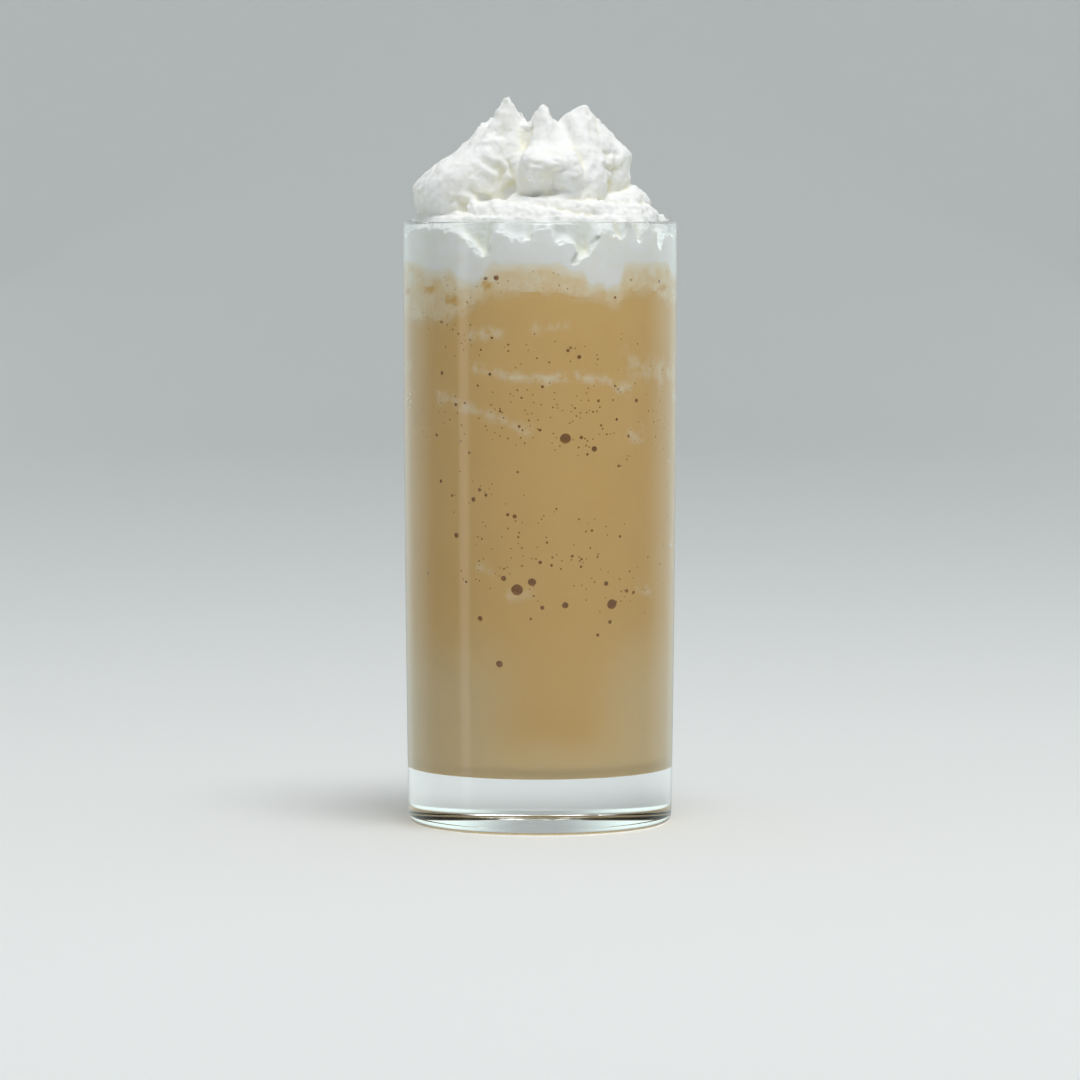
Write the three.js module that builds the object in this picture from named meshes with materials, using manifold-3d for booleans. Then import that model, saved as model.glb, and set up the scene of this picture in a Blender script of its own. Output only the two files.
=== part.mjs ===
// A straight-sided glass of blended iced coffee, topped with froth and piped whipped cream.
// Millimetres, +Z up. The origin is the centre of the glass's foot, on the surface it stands on.
// A bearing is an angle about the vertical axis in degrees: 0 faces the front (-Y), 90 faces +X.

import * as THREE from "three";
import { LoftGeometry } from "three/addons/geometries/LoftGeometry.js";
import { mergeVertices } from "three/addons/utils/BufferGeometryUtils.js";
import { ImprovedNoise } from "three/addons/math/ImprovedNoise.js";
import Module from "manifold-3d";

// Driving sizes of the glass
const GLASS_HEIGHT = 142;
const FOOT_RADIUS = 31.1;
const RIM_RADIUS = 32.2;
const WALL = 2;
const FLOOR_HEIGHT = 13;
const FLOOR_CORNER = 3;
const HEEL = 2;
const DIMPLE_RADIUS = 25;
const DIMPLE_DEPTH = 1.2;

// Clearance kept between solids that touch in the real drink
const GAP = 0.3;

// Heights of the two boundaries under the cream, measured at the glass wall
const COFFEE_LEVEL = 126;
const FROTH_LEVEL = 132.1;

// Froth hangs into the coffee, and cream into the froth, in broad rounded tongues.
// Each is a bearing, a half width in degrees and a depth.
const FROTH_TONGUES = [
  { bearing: -62, halfWidth: 34, depth: 7 },
  { bearing: 24, halfWidth: 14, depth: 1.3 },
  { bearing: 34, halfWidth: 6, depth: 1.9 },
  { bearing: 78, halfWidth: 15, depth: 3.2 },
  { bearing: 124, halfWidth: 18, depth: 5 },
  { bearing: 168, halfWidth: 12, depth: 3 },
  { bearing: 214, halfWidth: 22, depth: 5.5 },
];
const CREAM_TONGUES = [
  { bearing: -50, halfWidth: 12, depth: 1.8 },
  { bearing: -31.5, halfWidth: 7.5, depth: 4.2 },
  { bearing: 17, halfWidth: 6, depth: 1.6 },
  { bearing: 25.5, halfWidth: 5.2, depth: 4.4 },
  { bearing: 33.6, halfWidth: 4.4, depth: 5 },
  { bearing: 84, halfWidth: 11, depth: 3 },
  { bearing: 132, halfWidth: 9, depth: 4.4 },
  { bearing: 176, halfWidth: 14, depth: 2.4 },
  { bearing: 222, halfWidth: 10, depth: 4.6 },
  { bearing: 262, halfWidth: 8, depth: 2 },
];

// Where the cream is pressed flat against the glass: rounded patches rising from the froth, each
// a bearing, a half width in degrees and the height of its top. Above them the cream stands clear.
const PATCHES = [
  { bearing: -94, halfWidth: 15, top: 142.2 },
  { bearing: -57, halfWidth: 31, top: 140.6 },
  { bearing: -17, halfWidth: 7, top: 139.8 },
  { bearing: -9, halfWidth: 6, top: 138.4 },
  { bearing: 1, halfWidth: 7, top: 140.8 },
  { bearing: 11, halfWidth: 6, top: 137.6 },
  { bearing: 30, halfWidth: 8.5, top: 140.2 },
  { bearing: 42, halfWidth: 5.6, top: 141.6 },
  { bearing: 55, halfWidth: 8, top: 141 },
  { bearing: 72, halfWidth: 9, top: 139.4 },
  { bearing: 92, halfWidth: 15, top: 142.2 },
  { bearing: 125, halfWidth: 12, top: 138.6 },
  { bearing: 149, halfWidth: 11, top: 140.8 },
  { bearing: 175, halfWidth: 14, top: 139.2 },
  { bearing: 203, halfWidth: 12, top: 141 },
  { bearing: 228, halfWidth: 13, top: 138.6 },
  { bearing: 251, halfWidth: 10, top: 140.6 },
  { bearing: 272, halfWidth: 11, top: 139.4 },
];
const PATCH_FOOT = 134;
const PATCH_SQUARENESS = 3.4;
const PATCH_CLEARANCE = { rise: 0.9, depth: 1.4 };

// Grooves left between the cream and the glass, as bearing, height, half width along the wall,
// half height, depth and tilt in degrees
const GROOVES = [
  { bearing: 20, height: 135.6, halfWidth: 0.9, halfHeight: 5.2, depth: 1.2, tilt: 48 },
  { bearing: 112, height: 134.6, halfWidth: 1, halfHeight: 4.6, depth: 1.6, tilt: -38 },
  { bearing: 188, height: 134.8, halfWidth: 1, halfHeight: 4.4, depth: 1.6, tilt: 40 },
  { bearing: 238, height: 134.4, halfWidth: 1.2, halfHeight: 4.4, depth: 1.5, tilt: -30 },
];

// The crown of cream: thick petals left by the piping nozzle, standing round a hollow middle.
// A petal's profile runs up its ridge as five [radius, height] pairs: where it tucks under, its
// belly, its shoulder, its upper edge and its crest. It is halfWidth degrees to each side at the
// tuck and taper times that at the crest, lean degrees further round, and flatter across the
// higher its fullness.
const PETALS = [
  {
    name: "left wing", bearing: -84, lean: 11, halfWidth: 48, taper: 0.62, fullness: 3,
    profile: [[26.4, 143], [28.8, 149.8], [24.8, 155], [18, 160], [13, 164.3]],
  },
  {
    name: "left peak", bearing: -42, lean: -1, halfWidth: 14, taper: 1, fullness: 1.6,
    profile: [[14, 147], [15, 152.5], [15.4, 158], [13.6, 163], [11.7, 166]],
  },
  {
    name: "front tongue", bearing: 1, lean: 7, halfWidth: 30, taper: 0.6, fullness: 2.6,
    profile: [[16, 147.4], [19.4, 149], [23.4, 156.2], [15.2, 160], [10, 166]],
  },
  {
    name: "right peak", bearing: 31, lean: 21, halfWidth: 29, taper: 0.85, fullness: 2.8,
    profile: [[20.6, 146], [21.6, 151], [19.8, 157], [16.4, 162.6], [12.6, 166.4]],
  },
  {
    name: "right shoulder", bearing: 84, lean: 4, halfWidth: 30, taper: 0.9, fullness: 2.6,
    profile: [[20.2, 149.6], [21.4, 155.2], [20.2, 159], [16.8, 162.6], [12.6, 165.4]],
  },
  {
    name: "back right", bearing: 135, lean: 5, halfWidth: 26, taper: 0.9, fullness: 2.4,
    profile: [[18, 146], [23, 150.6], [21, 156], [17, 161], [11, 164.6]],
  },
  {
    name: "back", bearing: 186, lean: 5, halfWidth: 30, taper: 0.8, fullness: 3,
    profile: [[17, 145.4], [23.6, 149.4], [22.4, 155], [17.5, 161], [10.5, 164.8]],
  },
  {
    name: "back left", bearing: 234, lean: 3, halfWidth: 27, taper: 0.9, fullness: 2.4,
    profile: [[19, 145], [24, 150], [22, 155.5], [17.5, 160], [12, 163.6]],
  },
];
const VALLEY = [[14, 147], [14.5, 151.5], [14, 156], [12.4, 160.6], [9, 165]];
const CROWN_BASE = [10, 141];

// Torn peaks along the crest, as bearing, half width in degrees and rise
const TEETH = [
  { bearing: -42, halfWidth: 9.5, rise: 5.6 },
  { bearing: -8, halfWidth: 5, rise: 2.4 },
  { bearing: 5, halfWidth: 11, rise: 3.9 },
  { bearing: 36, halfWidth: 6, rise: 1.4 },
  { bearing: 51, halfWidth: 14, rise: 3 },
  { bearing: 70, halfWidth: 6, rise: 0.8 },
  { bearing: 104, halfWidth: 10, rise: 1.8 },
  { bearing: 132, halfWidth: 9, rise: 1.8 },
  { bearing: 184, halfWidth: 9, rise: 3.2 },
  { bearing: 209, halfWidth: 9, rise: 2.6 },
  { bearing: 236, halfWidth: 10, rise: 2 },
  { bearing: 262, halfWidth: 10, rise: 1.6 },
];
const TOOTH_FULLNESS = 1.4;

// The bottom of the crown's hollow middle, as radius and height
const HOLLOW = [4.2, 162.6];

// The pile between the mouth of the glass and the crown, as radius and height up its side
const HEART = [[27.6, 143.2], [24, 143.4], [18.5, 147], [12, 151]];

// Deep hollows left between the folds, as bearing, distance from the axis, height, half width,
// half height, depth and tilt in degrees
const HOLLOWS = [
  { bearing: -30, radius: 18.4, height: 149, halfWidth: 2.3, halfHeight: 4.4, depth: 6, tilt: 34 },
  { bearing: -39, radius: 20.4, height: 147.4, halfWidth: 2.8, halfHeight: 1.5, depth: 4, tilt: 4 },
  { bearing: 112, radius: 21, height: 151, halfWidth: 2, halfHeight: 4, depth: 5, tilt: -15 },
  { bearing: 210, radius: 21, height: 150, halfWidth: 2.2, halfHeight: 4, depth: 6, tilt: 18 },
];

// The first turn of cream, a fluted rope laid round the mouth of the glass. Its course is given
// at even bearings from the front, as the rope's distance from the axis, height and radius.
const ROPE_COURSE = [
  [19.6, 139.2, 8.7],
  [19, 139, 8.8],
  [18.6, 141, 9.4],
  [18.6, 140.2, 9.2],
  [19.4, 139.4, 9],
  [18.8, 138.8, 9],
  [17.6, 138.6, 9],
  [18.4, 138.6, 8.8],
];
const ROPE_FLUTES = 6;
const ROPE_TWIST = 1;

// How deep the creases between the rope's ridges are, and how ragged all the cream is
const FLUTE_DEPTH = 1.7;
const RAGGED = [
  { length: 5, height: 0.7 },
  { length: 2.4, height: 0.45 },
];

const GLASS_STEPS = 48;
const ROUND_STEPS = 48;
const PLUG_STEPS = 96;
const LEVEL_STEPS = 62;
const CROWN_STEPS = 96;
const CROWN_RINGS = 22;
const HOLLOW_STEPS = 14;
const ROPE_LENGTHS = 64;
const ROPE_STEPS = 16;
const LEVEL_SHARES = [0.33, 0.67, 1.04];
const radians = THREE.MathUtils.degToRad;
const noise = new ImprovedNoise();

const wasm = await Module();
wasm.setup();

// A closed three.js geometry as a solid that can be joined and cut.
function solidFrom(geometry) {
  const bare = new THREE.BufferGeometry();
  bare.setAttribute("position", geometry.getAttribute("position").clone());
  bare.setIndex(geometry.getIndex());
  const merged = mergeVertices(bare, 1e-3);
  const corners = [];
  const index = merged.index.array;
  for (let i = 0; i < index.length; i += 3) {
    const [a, b, c] = [index[i], index[i + 1], index[i + 2]];
    if (a !== b && b !== c && c !== a) corners.push(a, b, c);
  }
  const vertProperties = merged.attributes.position.array;
  const triVerts = new Uint32Array(corners);
  return new wasm.Manifold(new wasm.Mesh({ numProp: 3, vertProperties, triVerts }));
}

// A solid back as three.js geometry.
function geometryFrom(solid) {
  const { vertProperties, triVerts } = solid.getMesh();
  const geometry = new THREE.BufferGeometry();
  geometry.setAttribute("position", new THREE.BufferAttribute(vertProperties, 3));
  geometry.setIndex(new THREE.BufferAttribute(triVerts, 1));
  geometry.computeVertexNormals();
  return geometry;
}

// The point at a bearing, a distance from the axis and a height.
function polar(bearing, radius, height) {
  const angle = radians(bearing);
  return new THREE.Vector3(radius * Math.sin(angle), -radius * Math.cos(angle), height);
}

// The glass leans out slightly from foot to rim, most of it low down.
function outerRadius(height) {
  const below = Math.min(Math.max(1 - height / GLASS_HEIGHT, 0), 1);
  return FOOT_RADIUS + (RIM_RADIUS - FOOT_RADIUS) * (1 - below ** 2);
}

function innerRadius(height) {
  return outerRadius(height) - WALL;
}

// How far round the circle two bearings are from each other.
function bearingBetween(a, b) {
  return Math.abs(((a - b + 540) % 360) - 180);
}

// How far the tongues in a list hang down at a bearing.
function tongueDepth(tongues, bearing) {
  const hang = ({ bearing: middle, halfWidth, depth }) =>
    depth * Math.exp(-((bearingBetween(bearing, middle) / halfWidth) ** 4));
  return tongues.reduce((sum, tongue) => sum + hang(tongue), 0);
}

// The height of a boundary inside the glass: its tongues fade towards the axis.
function boundaryHeight(level, tongues, bearing, share) {
  return level - tongueDepth(tongues, bearing) * share ** 2;
}

const coffeeTop = (bearing, share) =>
  boundaryHeight(COFFEE_LEVEL, FROTH_TONGUES, bearing, share);
const frothTop = (bearing, share) =>
  boundaryHeight(FROTH_LEVEL, CREAM_TONGUES, bearing, share);

// A body lofted through rings and closed on the axis at both ends. Each ring gives a radius
// and a height at a bearing, and the first point of each stands at a share of one step.
function ringedBody(rings, steps = ROUND_STEPS, start = 0) {
  const sections = rings.map((ring) => {
    const section = [];
    for (let i = 0; i < steps; i++) {
      const bearing = ((i + start) / steps) * 360;
      const { radius, height } = ring(bearing);
      section.push(polar(bearing, radius, height));
    }
    return section;
  });
  const closing = (section) => {
    const height = section.reduce((sum, point) => sum + point.z, 0) / steps;
    return section.map(() => new THREE.Vector3(0, 0, height));
  };
  sections.unshift(closing(sections[0]));
  sections.push(closing(sections.at(-1)));
  return solidFrom(new LoftGeometry(sections));
}

// All the space above a wavy boundary, raised by a lift. It reaches past the glass's inside, so
// that it cuts cleanly through whatever stands there.
function spaceAbove(surface, lift) {
  const rings = LEVEL_SHARES.map((share) => (bearing) => {
    const height = surface(bearing, share) + lift;
    return { radius: share * (innerRadius(height) - GAP), height };
  });
  rings.push(() => ({ radius: RIM_RADIUS, height: GLASS_HEIGHT * 1.5 }));
  return ringedBody(rings, LEVEL_STEPS, 0.37);
}

// The inside of the glass clear of its wall, from the floor's rounded corner to over the cream.
function makeContents() {
  const floor = FLOOR_HEIGHT + GAP;
  const corner = floor + FLOOR_CORNER;
  const cornerRadius = innerRadius(corner) - GAP;
  const bevel = FLOOR_CORNER * (1 - Math.SQRT1_2);
  const mouth = innerRadius(GLASS_HEIGHT) - GAP;
  const rings = [
    () => ({ radius: cornerRadius - FLOOR_CORNER, height: floor }),
    () => ({ radius: cornerRadius - bevel, height: floor + bevel }),
    () => ({ radius: cornerRadius, height: corner }),
    () => ({ radius: innerRadius(GLASS_HEIGHT / 4) - GAP, height: GLASS_HEIGHT / 4 }),
    () => ({ radius: innerRadius(GLASS_HEIGHT / 2) - GAP, height: GLASS_HEIGHT / 2 }),
    () => ({ radius: mouth, height: GLASS_HEIGHT }),
    () => ({ radius: mouth, height: GLASS_HEIGHT * 1.4 }),
  ];
  return ringedBody(rings);
}

// The glass: thick clear floor, dimpled underside, rounded heel, rolled rim.
function makeGlass() {
  const lip = WALL / 2;
  const lipHeight = GLASS_HEIGHT - lip;
  const middle = GLASS_HEIGHT / 2;
  const cornerHeight = FLOOR_HEIGHT + FLOOR_CORNER;
  const cornerCentre = innerRadius(cornerHeight) - FLOOR_CORNER;
  const outline = new THREE.Path();
  outline.moveTo(0, DIMPLE_DEPTH);
  outline.quadraticCurveTo(DIMPLE_RADIUS / 2, DIMPLE_DEPTH, DIMPLE_RADIUS, 0);
  outline.lineTo(FOOT_RADIUS - HEEL, 0);
  outline.absarc(FOOT_RADIUS - HEEL, HEEL, HEEL, -Math.PI / 2, 0, false);
  outline.lineTo(outerRadius(middle / 2), middle / 2);
  outline.lineTo(outerRadius(middle), middle);
  outline.lineTo(outerRadius(lipHeight), lipHeight);
  outline.absarc(outerRadius(lipHeight) - lip, lipHeight, lip, 0, Math.PI, false);
  outline.lineTo(innerRadius(middle), middle);
  outline.lineTo(innerRadius(middle / 2), middle / 2);
  outline.lineTo(innerRadius(cornerHeight), cornerHeight);
  outline.absarc(cornerCentre, cornerHeight, FLOOR_CORNER, 0, -Math.PI / 2, true);
  outline.lineTo(0, FLOOR_HEIGHT);
  const turned = new THREE.LatheGeometry(outline.getPoints(3), GLASS_STEPS);
  turned.rotateX(Math.PI / 2);
  return solidFrom(turned);
}

// Moves points of the cream's surface in and out along a direction, to leave it ragged.
function raggedness(point) {
  return RAGGED.reduce((sum, { length, height }) => {
    const { x, y, z } = point.clone().divideScalar(length);
    return sum + height * noise.noise(x, y, z);
  }, 0);
}

// How strongly a petal stands out at a bearing and a share of its height, from 0 to 1.
function petalWeight({ bearing, lean, halfWidth, taper, fullness }, at, share) {
  const middle = bearing + lean * share;
  const across = bearingBetween(at, middle) / (halfWidth * THREE.MathUtils.lerp(1, taper, share));
  return across < 1 ? 1 - across ** fullness : 0;
}

// The crown's profile at a bearing, from its base on the axis up and over into the hollow.
function crownProfile(bearing) {
  const levels = VALLEY.map(([valleyRadius, valleyHeight], level) => {
    let radius = valleyRadius;
    let height = valleyHeight;
    for (const petal of PETALS) {
      const weight = petalWeight(petal, bearing, level / (VALLEY.length - 1));
      radius += weight * (petal.profile[level][0] - valleyRadius);
      height += weight * (petal.profile[level][1] - valleyHeight);
    }
    return new THREE.Vector2(radius, height);
  });
  for (const tooth of TEETH) {
    const across = bearingBetween(bearing, tooth.bearing) / tooth.halfWidth;
    levels.at(-1).y += tooth.rise * Math.max(1 - across ** TOOTH_FULLNESS, 0);
  }
  const base = new THREE.Vector2(...CROWN_BASE);
  return new THREE.SplineCurve([base, ...levels, new THREE.Vector2(...HOLLOW)]);
}

// The crown as one closed body.
function makeCrown() {
  const profiles = [];
  for (let i = 0; i < CROWN_STEPS; i++) profiles.push(crownProfile((i / CROWN_STEPS) * 360));
  const rings = [];
  for (let j = 0; j <= CROWN_RINGS; j++) {
    rings.push((bearing) => {
      const place = profiles[Math.round((bearing / 360) * CROWN_STEPS)].getPoint(j / CROWN_RINGS);
      const rough = raggedness(polar(bearing, place.x, place.y));
      return { radius: place.x + rough, height: place.y + rough * 0.5 };
    });
  }
  return ringedBody(rings, CROWN_STEPS);
}

// A value of the rope's course at a bearing, eased between the given ones.
function courseAt(bearing, column) {
  const spacing = 360 / ROPE_COURSE.length;
  const place = (((bearing % 360) + 360) % 360) / spacing;
  const before = Math.floor(place) % ROPE_COURSE.length;
  const after = (before + 1) % ROPE_COURSE.length;
  const within = THREE.MathUtils.smoothstep(place - Math.floor(place), 0, 1);
  return THREE.MathUtils.lerp(ROPE_COURSE[before][column], ROPE_COURSE[after][column], within);
}

// The rope, laid round into a closed ring. Its section is drawn finest where it shows, outwards
// and up.
function makeRope() {
  const sections = [];
  for (let i = 0; i <= ROPE_LENGTHS; i++) {
    const bearing = ((i % ROPE_LENGTHS) / ROPE_LENGTHS) * 360;
    const centre = polar(bearing, courseAt(bearing, 0), courseAt(bearing, 1));
    const outward = polar(bearing, 1, 0);
    const radius = courseAt(bearing, 2);
    const section = [];
    for (let j = 0; j < ROPE_STEPS; j++) {
      const even = (j / ROPE_STEPS) * Math.PI * 2 - Math.PI;
      const angle = Math.PI / 4 + even - 0.6 * Math.sin(even);
      const turned = angle + radians(bearing) * ROPE_TWIST;
      const crease = 1 - Math.abs(Math.sin((turned * ROPE_FLUTES) / 2));
      const point = centre.clone();
      const reach = radius - FLUTE_DEPTH * crease ** 2;
      point.addScaledVector(outward, Math.cos(angle) * reach);
      point.z += Math.sin(angle) * reach;
      const rough = raggedness(point) / reach;
      section.push(point.sub(centre).multiplyScalar(1 + rough).add(centre));
    }
    sections.push(section.reverse());
  }
  return solidFrom(new LoftGeometry(sections));
}

// The height up to which the cream is pressed against the glass at a bearing.
function patchTop(at) {
  const tops = PATCHES.map(({ bearing, halfWidth, top }) => {
    const across = Math.min(bearingBetween(at, bearing) / halfWidth, 1);
    return PATCH_FOOT + (top - PATCH_FOOT) * (1 - across ** PATCH_SQUARENESS);
  });
  return Math.max(...tops);
}

// The plug of cream that fills the mouth of the glass and carries the pile: it reaches past the
// wall up to the patches' tops, so that the wall's clearance cuts it there, and is clear above.
function makePlug() {
  const { rise, depth } = PATCH_CLEARANCE;
  const inside = innerRadius(GLASS_HEIGHT);
  const rings = [
    () => ({ radius: inside + 1, height: COFFEE_LEVEL - 8 }),
    (bearing) => ({ radius: inside + 1, height: patchTop(bearing) }),
    (bearing) => ({ radius: inside - depth, height: patchTop(bearing) + rise }),
  ];
  for (const [radius, height] of HEART) rings.push(() => ({ radius, height }));
  return ringedBody(rings, PLUG_STEPS);
}

// A rounded hollow sunk into the cream's side.
function makeHollow({ bearing, radius, height, halfWidth, halfHeight, depth, tilt = 0 }) {
  const hollow = new THREE.SphereGeometry(1, HOLLOW_STEPS, HOLLOW_STEPS / 2);
  hollow.rotateX(Math.PI / 2);
  hollow.scale(halfWidth, depth, halfHeight);
  hollow.rotateY(radians(tilt));
  hollow.rotateZ(radians(bearing));
  const centre = polar(bearing, radius, height);
  hollow.translate(centre.x, centre.y, centre.z);
  return solidFrom(hollow);
}

// The whipped cream: plug, rope and crown together, with the grooves and hollows sunk in.
function makePile() {
  let pile = makePlug().add(makeCrown()).add(makeRope());
  for (const groove of GROOVES) {
    const radius = innerRadius(groove.height) - GAP;
    pile = pile.subtract(makeHollow({ ...groove, radius }));
  }
  for (const hollow of HOLLOWS) pile = pile.subtract(makeHollow(hollow));
  return pile;
}

// Finishes
const finishes = {
  clear_glass: { color: "#dfe9e8", roughness: 0.03, metalness: 0, transparent: true, opacity: 0.35 },
  blended_coffee: { color: "#b08d5c", roughness: 0.45, metalness: 0 },
  coffee_froth: { color: "#d3bd94", roughness: 0.6, metalness: 0 },
  whipped_cream: { color: "#f6f4ec", roughness: 0.7, metalness: 0 },
};

function addPiece(group, name, finish, solid) {
  const material = new THREE.MeshStandardMaterial(finishes[finish]);
  const piece = new THREE.Mesh(geometryFrom(solid), material);
  piece.name = name;
  group.add(piece);
}

const icedCoffee = new THREE.Group();
const contents = makeContents();
const coffee = contents.subtract(spaceAbove(coffeeTop, 0));
const froth = contents.intersect(spaceAbove(coffeeTop, GAP)).subtract(spaceAbove(frothTop, 0));
const cream = makePile().intersect(contents).intersect(spaceAbove(frothTop, GAP));
addPiece(icedCoffee, "glass", "clear_glass", makeGlass());
addPiece(icedCoffee, "iced_coffee", "blended_coffee", coffee);
addPiece(icedCoffee, "froth", "coffee_froth", froth);
addPiece(icedCoffee, "whipped_cream", "whipped_cream", cream);

export default icedCoffee;
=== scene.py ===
# A tall glass of blended iced coffee under froth and piped whipped cream, on a pale studio floor.
# Blender units are metres. Sizes in the tables below are millimetres, and a bearing is an angle
# about the vertical axis in degrees: 0 faces the front (-Y), 90 faces +X.
import math

import bpy
import numpy as np
from bpy.props import FloatProperty, FloatVectorProperty, IntProperty, PointerProperty
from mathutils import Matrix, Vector, noise


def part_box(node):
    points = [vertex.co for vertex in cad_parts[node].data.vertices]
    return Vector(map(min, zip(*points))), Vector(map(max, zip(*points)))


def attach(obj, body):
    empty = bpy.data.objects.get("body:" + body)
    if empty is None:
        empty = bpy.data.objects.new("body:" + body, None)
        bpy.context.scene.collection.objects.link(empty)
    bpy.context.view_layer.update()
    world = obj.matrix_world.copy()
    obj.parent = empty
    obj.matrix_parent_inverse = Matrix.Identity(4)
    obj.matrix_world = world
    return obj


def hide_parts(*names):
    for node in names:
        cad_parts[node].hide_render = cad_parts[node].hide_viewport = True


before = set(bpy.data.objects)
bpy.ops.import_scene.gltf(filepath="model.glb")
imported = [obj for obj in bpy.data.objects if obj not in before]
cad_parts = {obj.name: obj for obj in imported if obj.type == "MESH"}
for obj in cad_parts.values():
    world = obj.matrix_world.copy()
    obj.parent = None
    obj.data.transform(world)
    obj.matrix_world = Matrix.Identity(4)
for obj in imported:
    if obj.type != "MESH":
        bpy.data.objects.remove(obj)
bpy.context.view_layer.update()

bl_info = {
    "name": "Iced coffee in a glass",
    "version": (1, 0, 0),
    "blender": (4, 5, 0),
    "location": "View3D > Sidebar > Iced coffee",
    "description": "Makes a glass of blended iced coffee with froth and whipped cream",
    "category": "Add Mesh",
}

MM = 0.001
GLASS_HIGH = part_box("glass")[1]
RIM_RADIUS, RIM_HEIGHT = GLASS_HIGH.x / MM, GLASS_HIGH.z / MM
COFFEE_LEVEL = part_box("iced_coffee")[1].z / MM
FROTH_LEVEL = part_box("froth")[1].z / MM

# About where the inside of the wall is, for patterns that are painted on it
WALL_RADIUS = 30
MM_PER_DEGREE = math.radians(WALL_RADIUS)

# How far a filling reaches into the glass, the froth a hair further than the coffee, and how far
# into the layer above it, and the cream into the froth
REACH = 0.1
FROTH_REACH = REACH + 0.02
LAP = 0.15
PLUG_LAP = 1

# Rings over the top of a filling, from the wall inwards, and rings up its side
LID_SHARES = (0.97, 0.85, 0.6, 0.3)
COFFEE_ROWS = 140
FROTH_ROWS = 26

# Froth hangs into the coffee, and cream into the froth, in broad rounded tongues: bearing,
# half width in degrees and depth
FROTH_TONGUES = [
    (-62, 34, 7), (24, 14, 1.3), (34, 6, 1.9), (78, 15, 3.2), (124, 18, 5), (168, 12, 3),
    (214, 22, 5.5),
]
CREAM_TONGUES = [
    (-50, 12, 1.8), (-31.5, 7.5, 4.2), (17, 6, 1.6), (25.5, 5.2, 4.4), (33.6, 4.4, 5),
    (84, 11, 3), (132, 9, 4.4), (176, 14, 2.4), (222, 10, 4.6), (262, 8, 2),
]

# Bubbles large enough to be placed one by one, as bearing, height and diameter
BUBBLES = [
    (11, 92.2, 2.4), (24, 89.7, 1.3), (12, 112.5, 0.8), (17, 111, 0.95), (1, 104.2, 0.7),
    (-22, 107, 0.75), (-47, 107, 0.9), (-39, 99.8, 0.8), (-9, 95, 0.7), (0, 94.2, 0.7),
    (46, 100.6, 1), (35, 96.4, 0.75), (18, 92.4, 0.8), (34, 104.2, 0.6), (-21, 115.4, 0.65),
    (36, 85.6, 0.7), (-32, 88.7, 0.7), (-48, 81.8, 0.85), (-27, 80.2, 0.8), (-24, 79, 0.75),
    (-30, 77.9, 1.1), (-14, 74.6, 0.8), (-11, 74.2, 1), (-39, 69.4, 1.2), (23, 70.8, 0.7),
    (3, 68.2, 0.6), (14, 65, 0.7), (0, 63.6, 0.85), (5, 62.9, 0.65), (18, 62.5, 0.65),
    (37, 69.2, 0.7), (-16, 59.8, 1.2), (-10, 57.2, 2.6), (-3.5, 59, 1.8), (30, 58.4, 1.1),
    (33, 53.5, 2.4), (41, 56.4, 0.9), (45, 56, 0.75), (11, 53.6, 1.45), (1, 53.1, 0.95),
    (-4, 50.5, 0.65), (-27, 50.3, 1.2), (32, 49.4, 0.95), (26, 46.5, 0.8), (-34, 58.7, 0.65),
    (-18, 39.9, 1.55),
    (98, 96, 1.6), (121, 88, 1), (137, 61, 2.1), (150, 75, 1.2), (171, 104, 0.9),
    (186, 84, 1.4), (203, 55, 2.2), (211, 60, 1.1), (229, 97, 1), (246, 71, 1.5),
    (262, 52, 1.2), (78, 66, 1.3), (108, 44, 1.1), (160, 48, 0.9), (271, 90, 0.8),
]
FROTH_BUBBLES = [
    (-19, 129.2, 1.2), (-24, 129.1, 1), (34, 124.6, 0.7), (62, 128, 0.9), (117, 127, 1.1),
    (155, 129, 0.8), (198, 127.5, 1.2), (243, 128.5, 0.9), (280, 127, 0.8),
]

# Facets round a large bubble, and round one of up to a millimetre
BALL_STEPS = 24
SMALL_BALL_STEPS = 14

# Where the fine bubbles gather, as bearing, height, half width in degrees, half height and share
FIZZ = [
    (-24, 115, 26, 3, 0.6), (10, 112, 30, 4, 0.5), (-20, 98, 32, 5.5, 1), (14, 98, 30, 6, 0.6),
    (25, 91, 18, 4, 0.8), (-30, 80, 16, 5, 0.6), (0, 72, 40, 4, 0.5), (8, 64, 34, 4, 0.8),
    (38, 60, 20, 6, 0.8), (-28, 59, 20, 4, 0.5), (8, 55, 40, 3, 0.3), (60, 100, 30, 6, 0.5),
    (100, 94, 40, 7, 0.7), (130, 63, 36, 7, 0.8), (165, 100, 34, 7, 0.8), (196, 58, 30, 7, 0.8),
    (215, 92, 34, 8, 0.8), (250, 66, 32, 7, 0.7), (180, 78, 60, 5, 0.4), (275, 98, 26, 7, 0.5),
]

# They stand in clumps of a grain size, each fading in over a range of the noise, with only a
# share of them between the clumps
CLUMP_SIZE = 3
CLUMP_FADE = (-0.1, 0.4)
FIZZ_BETWEEN = 0.15

# Scatters of fine bubbles, as seed, closest spacing, most per square metre, smallest and largest
# radius and roundness
COFFEE_SCATTERS = [(3, 2.4, 90000, 0.26, 0.44, 2), (8, 0.8, 600000, 0.2, 0.3, 1)]
FROTH_SCATTERS = [(5, 1.1, 260000, 0.1, 0.32, 1)]
FROTH_FIZZ = 0.8

# The painted shade inside a bubble is full from this deep
HOLE_DEPTH = 0.4

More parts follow.
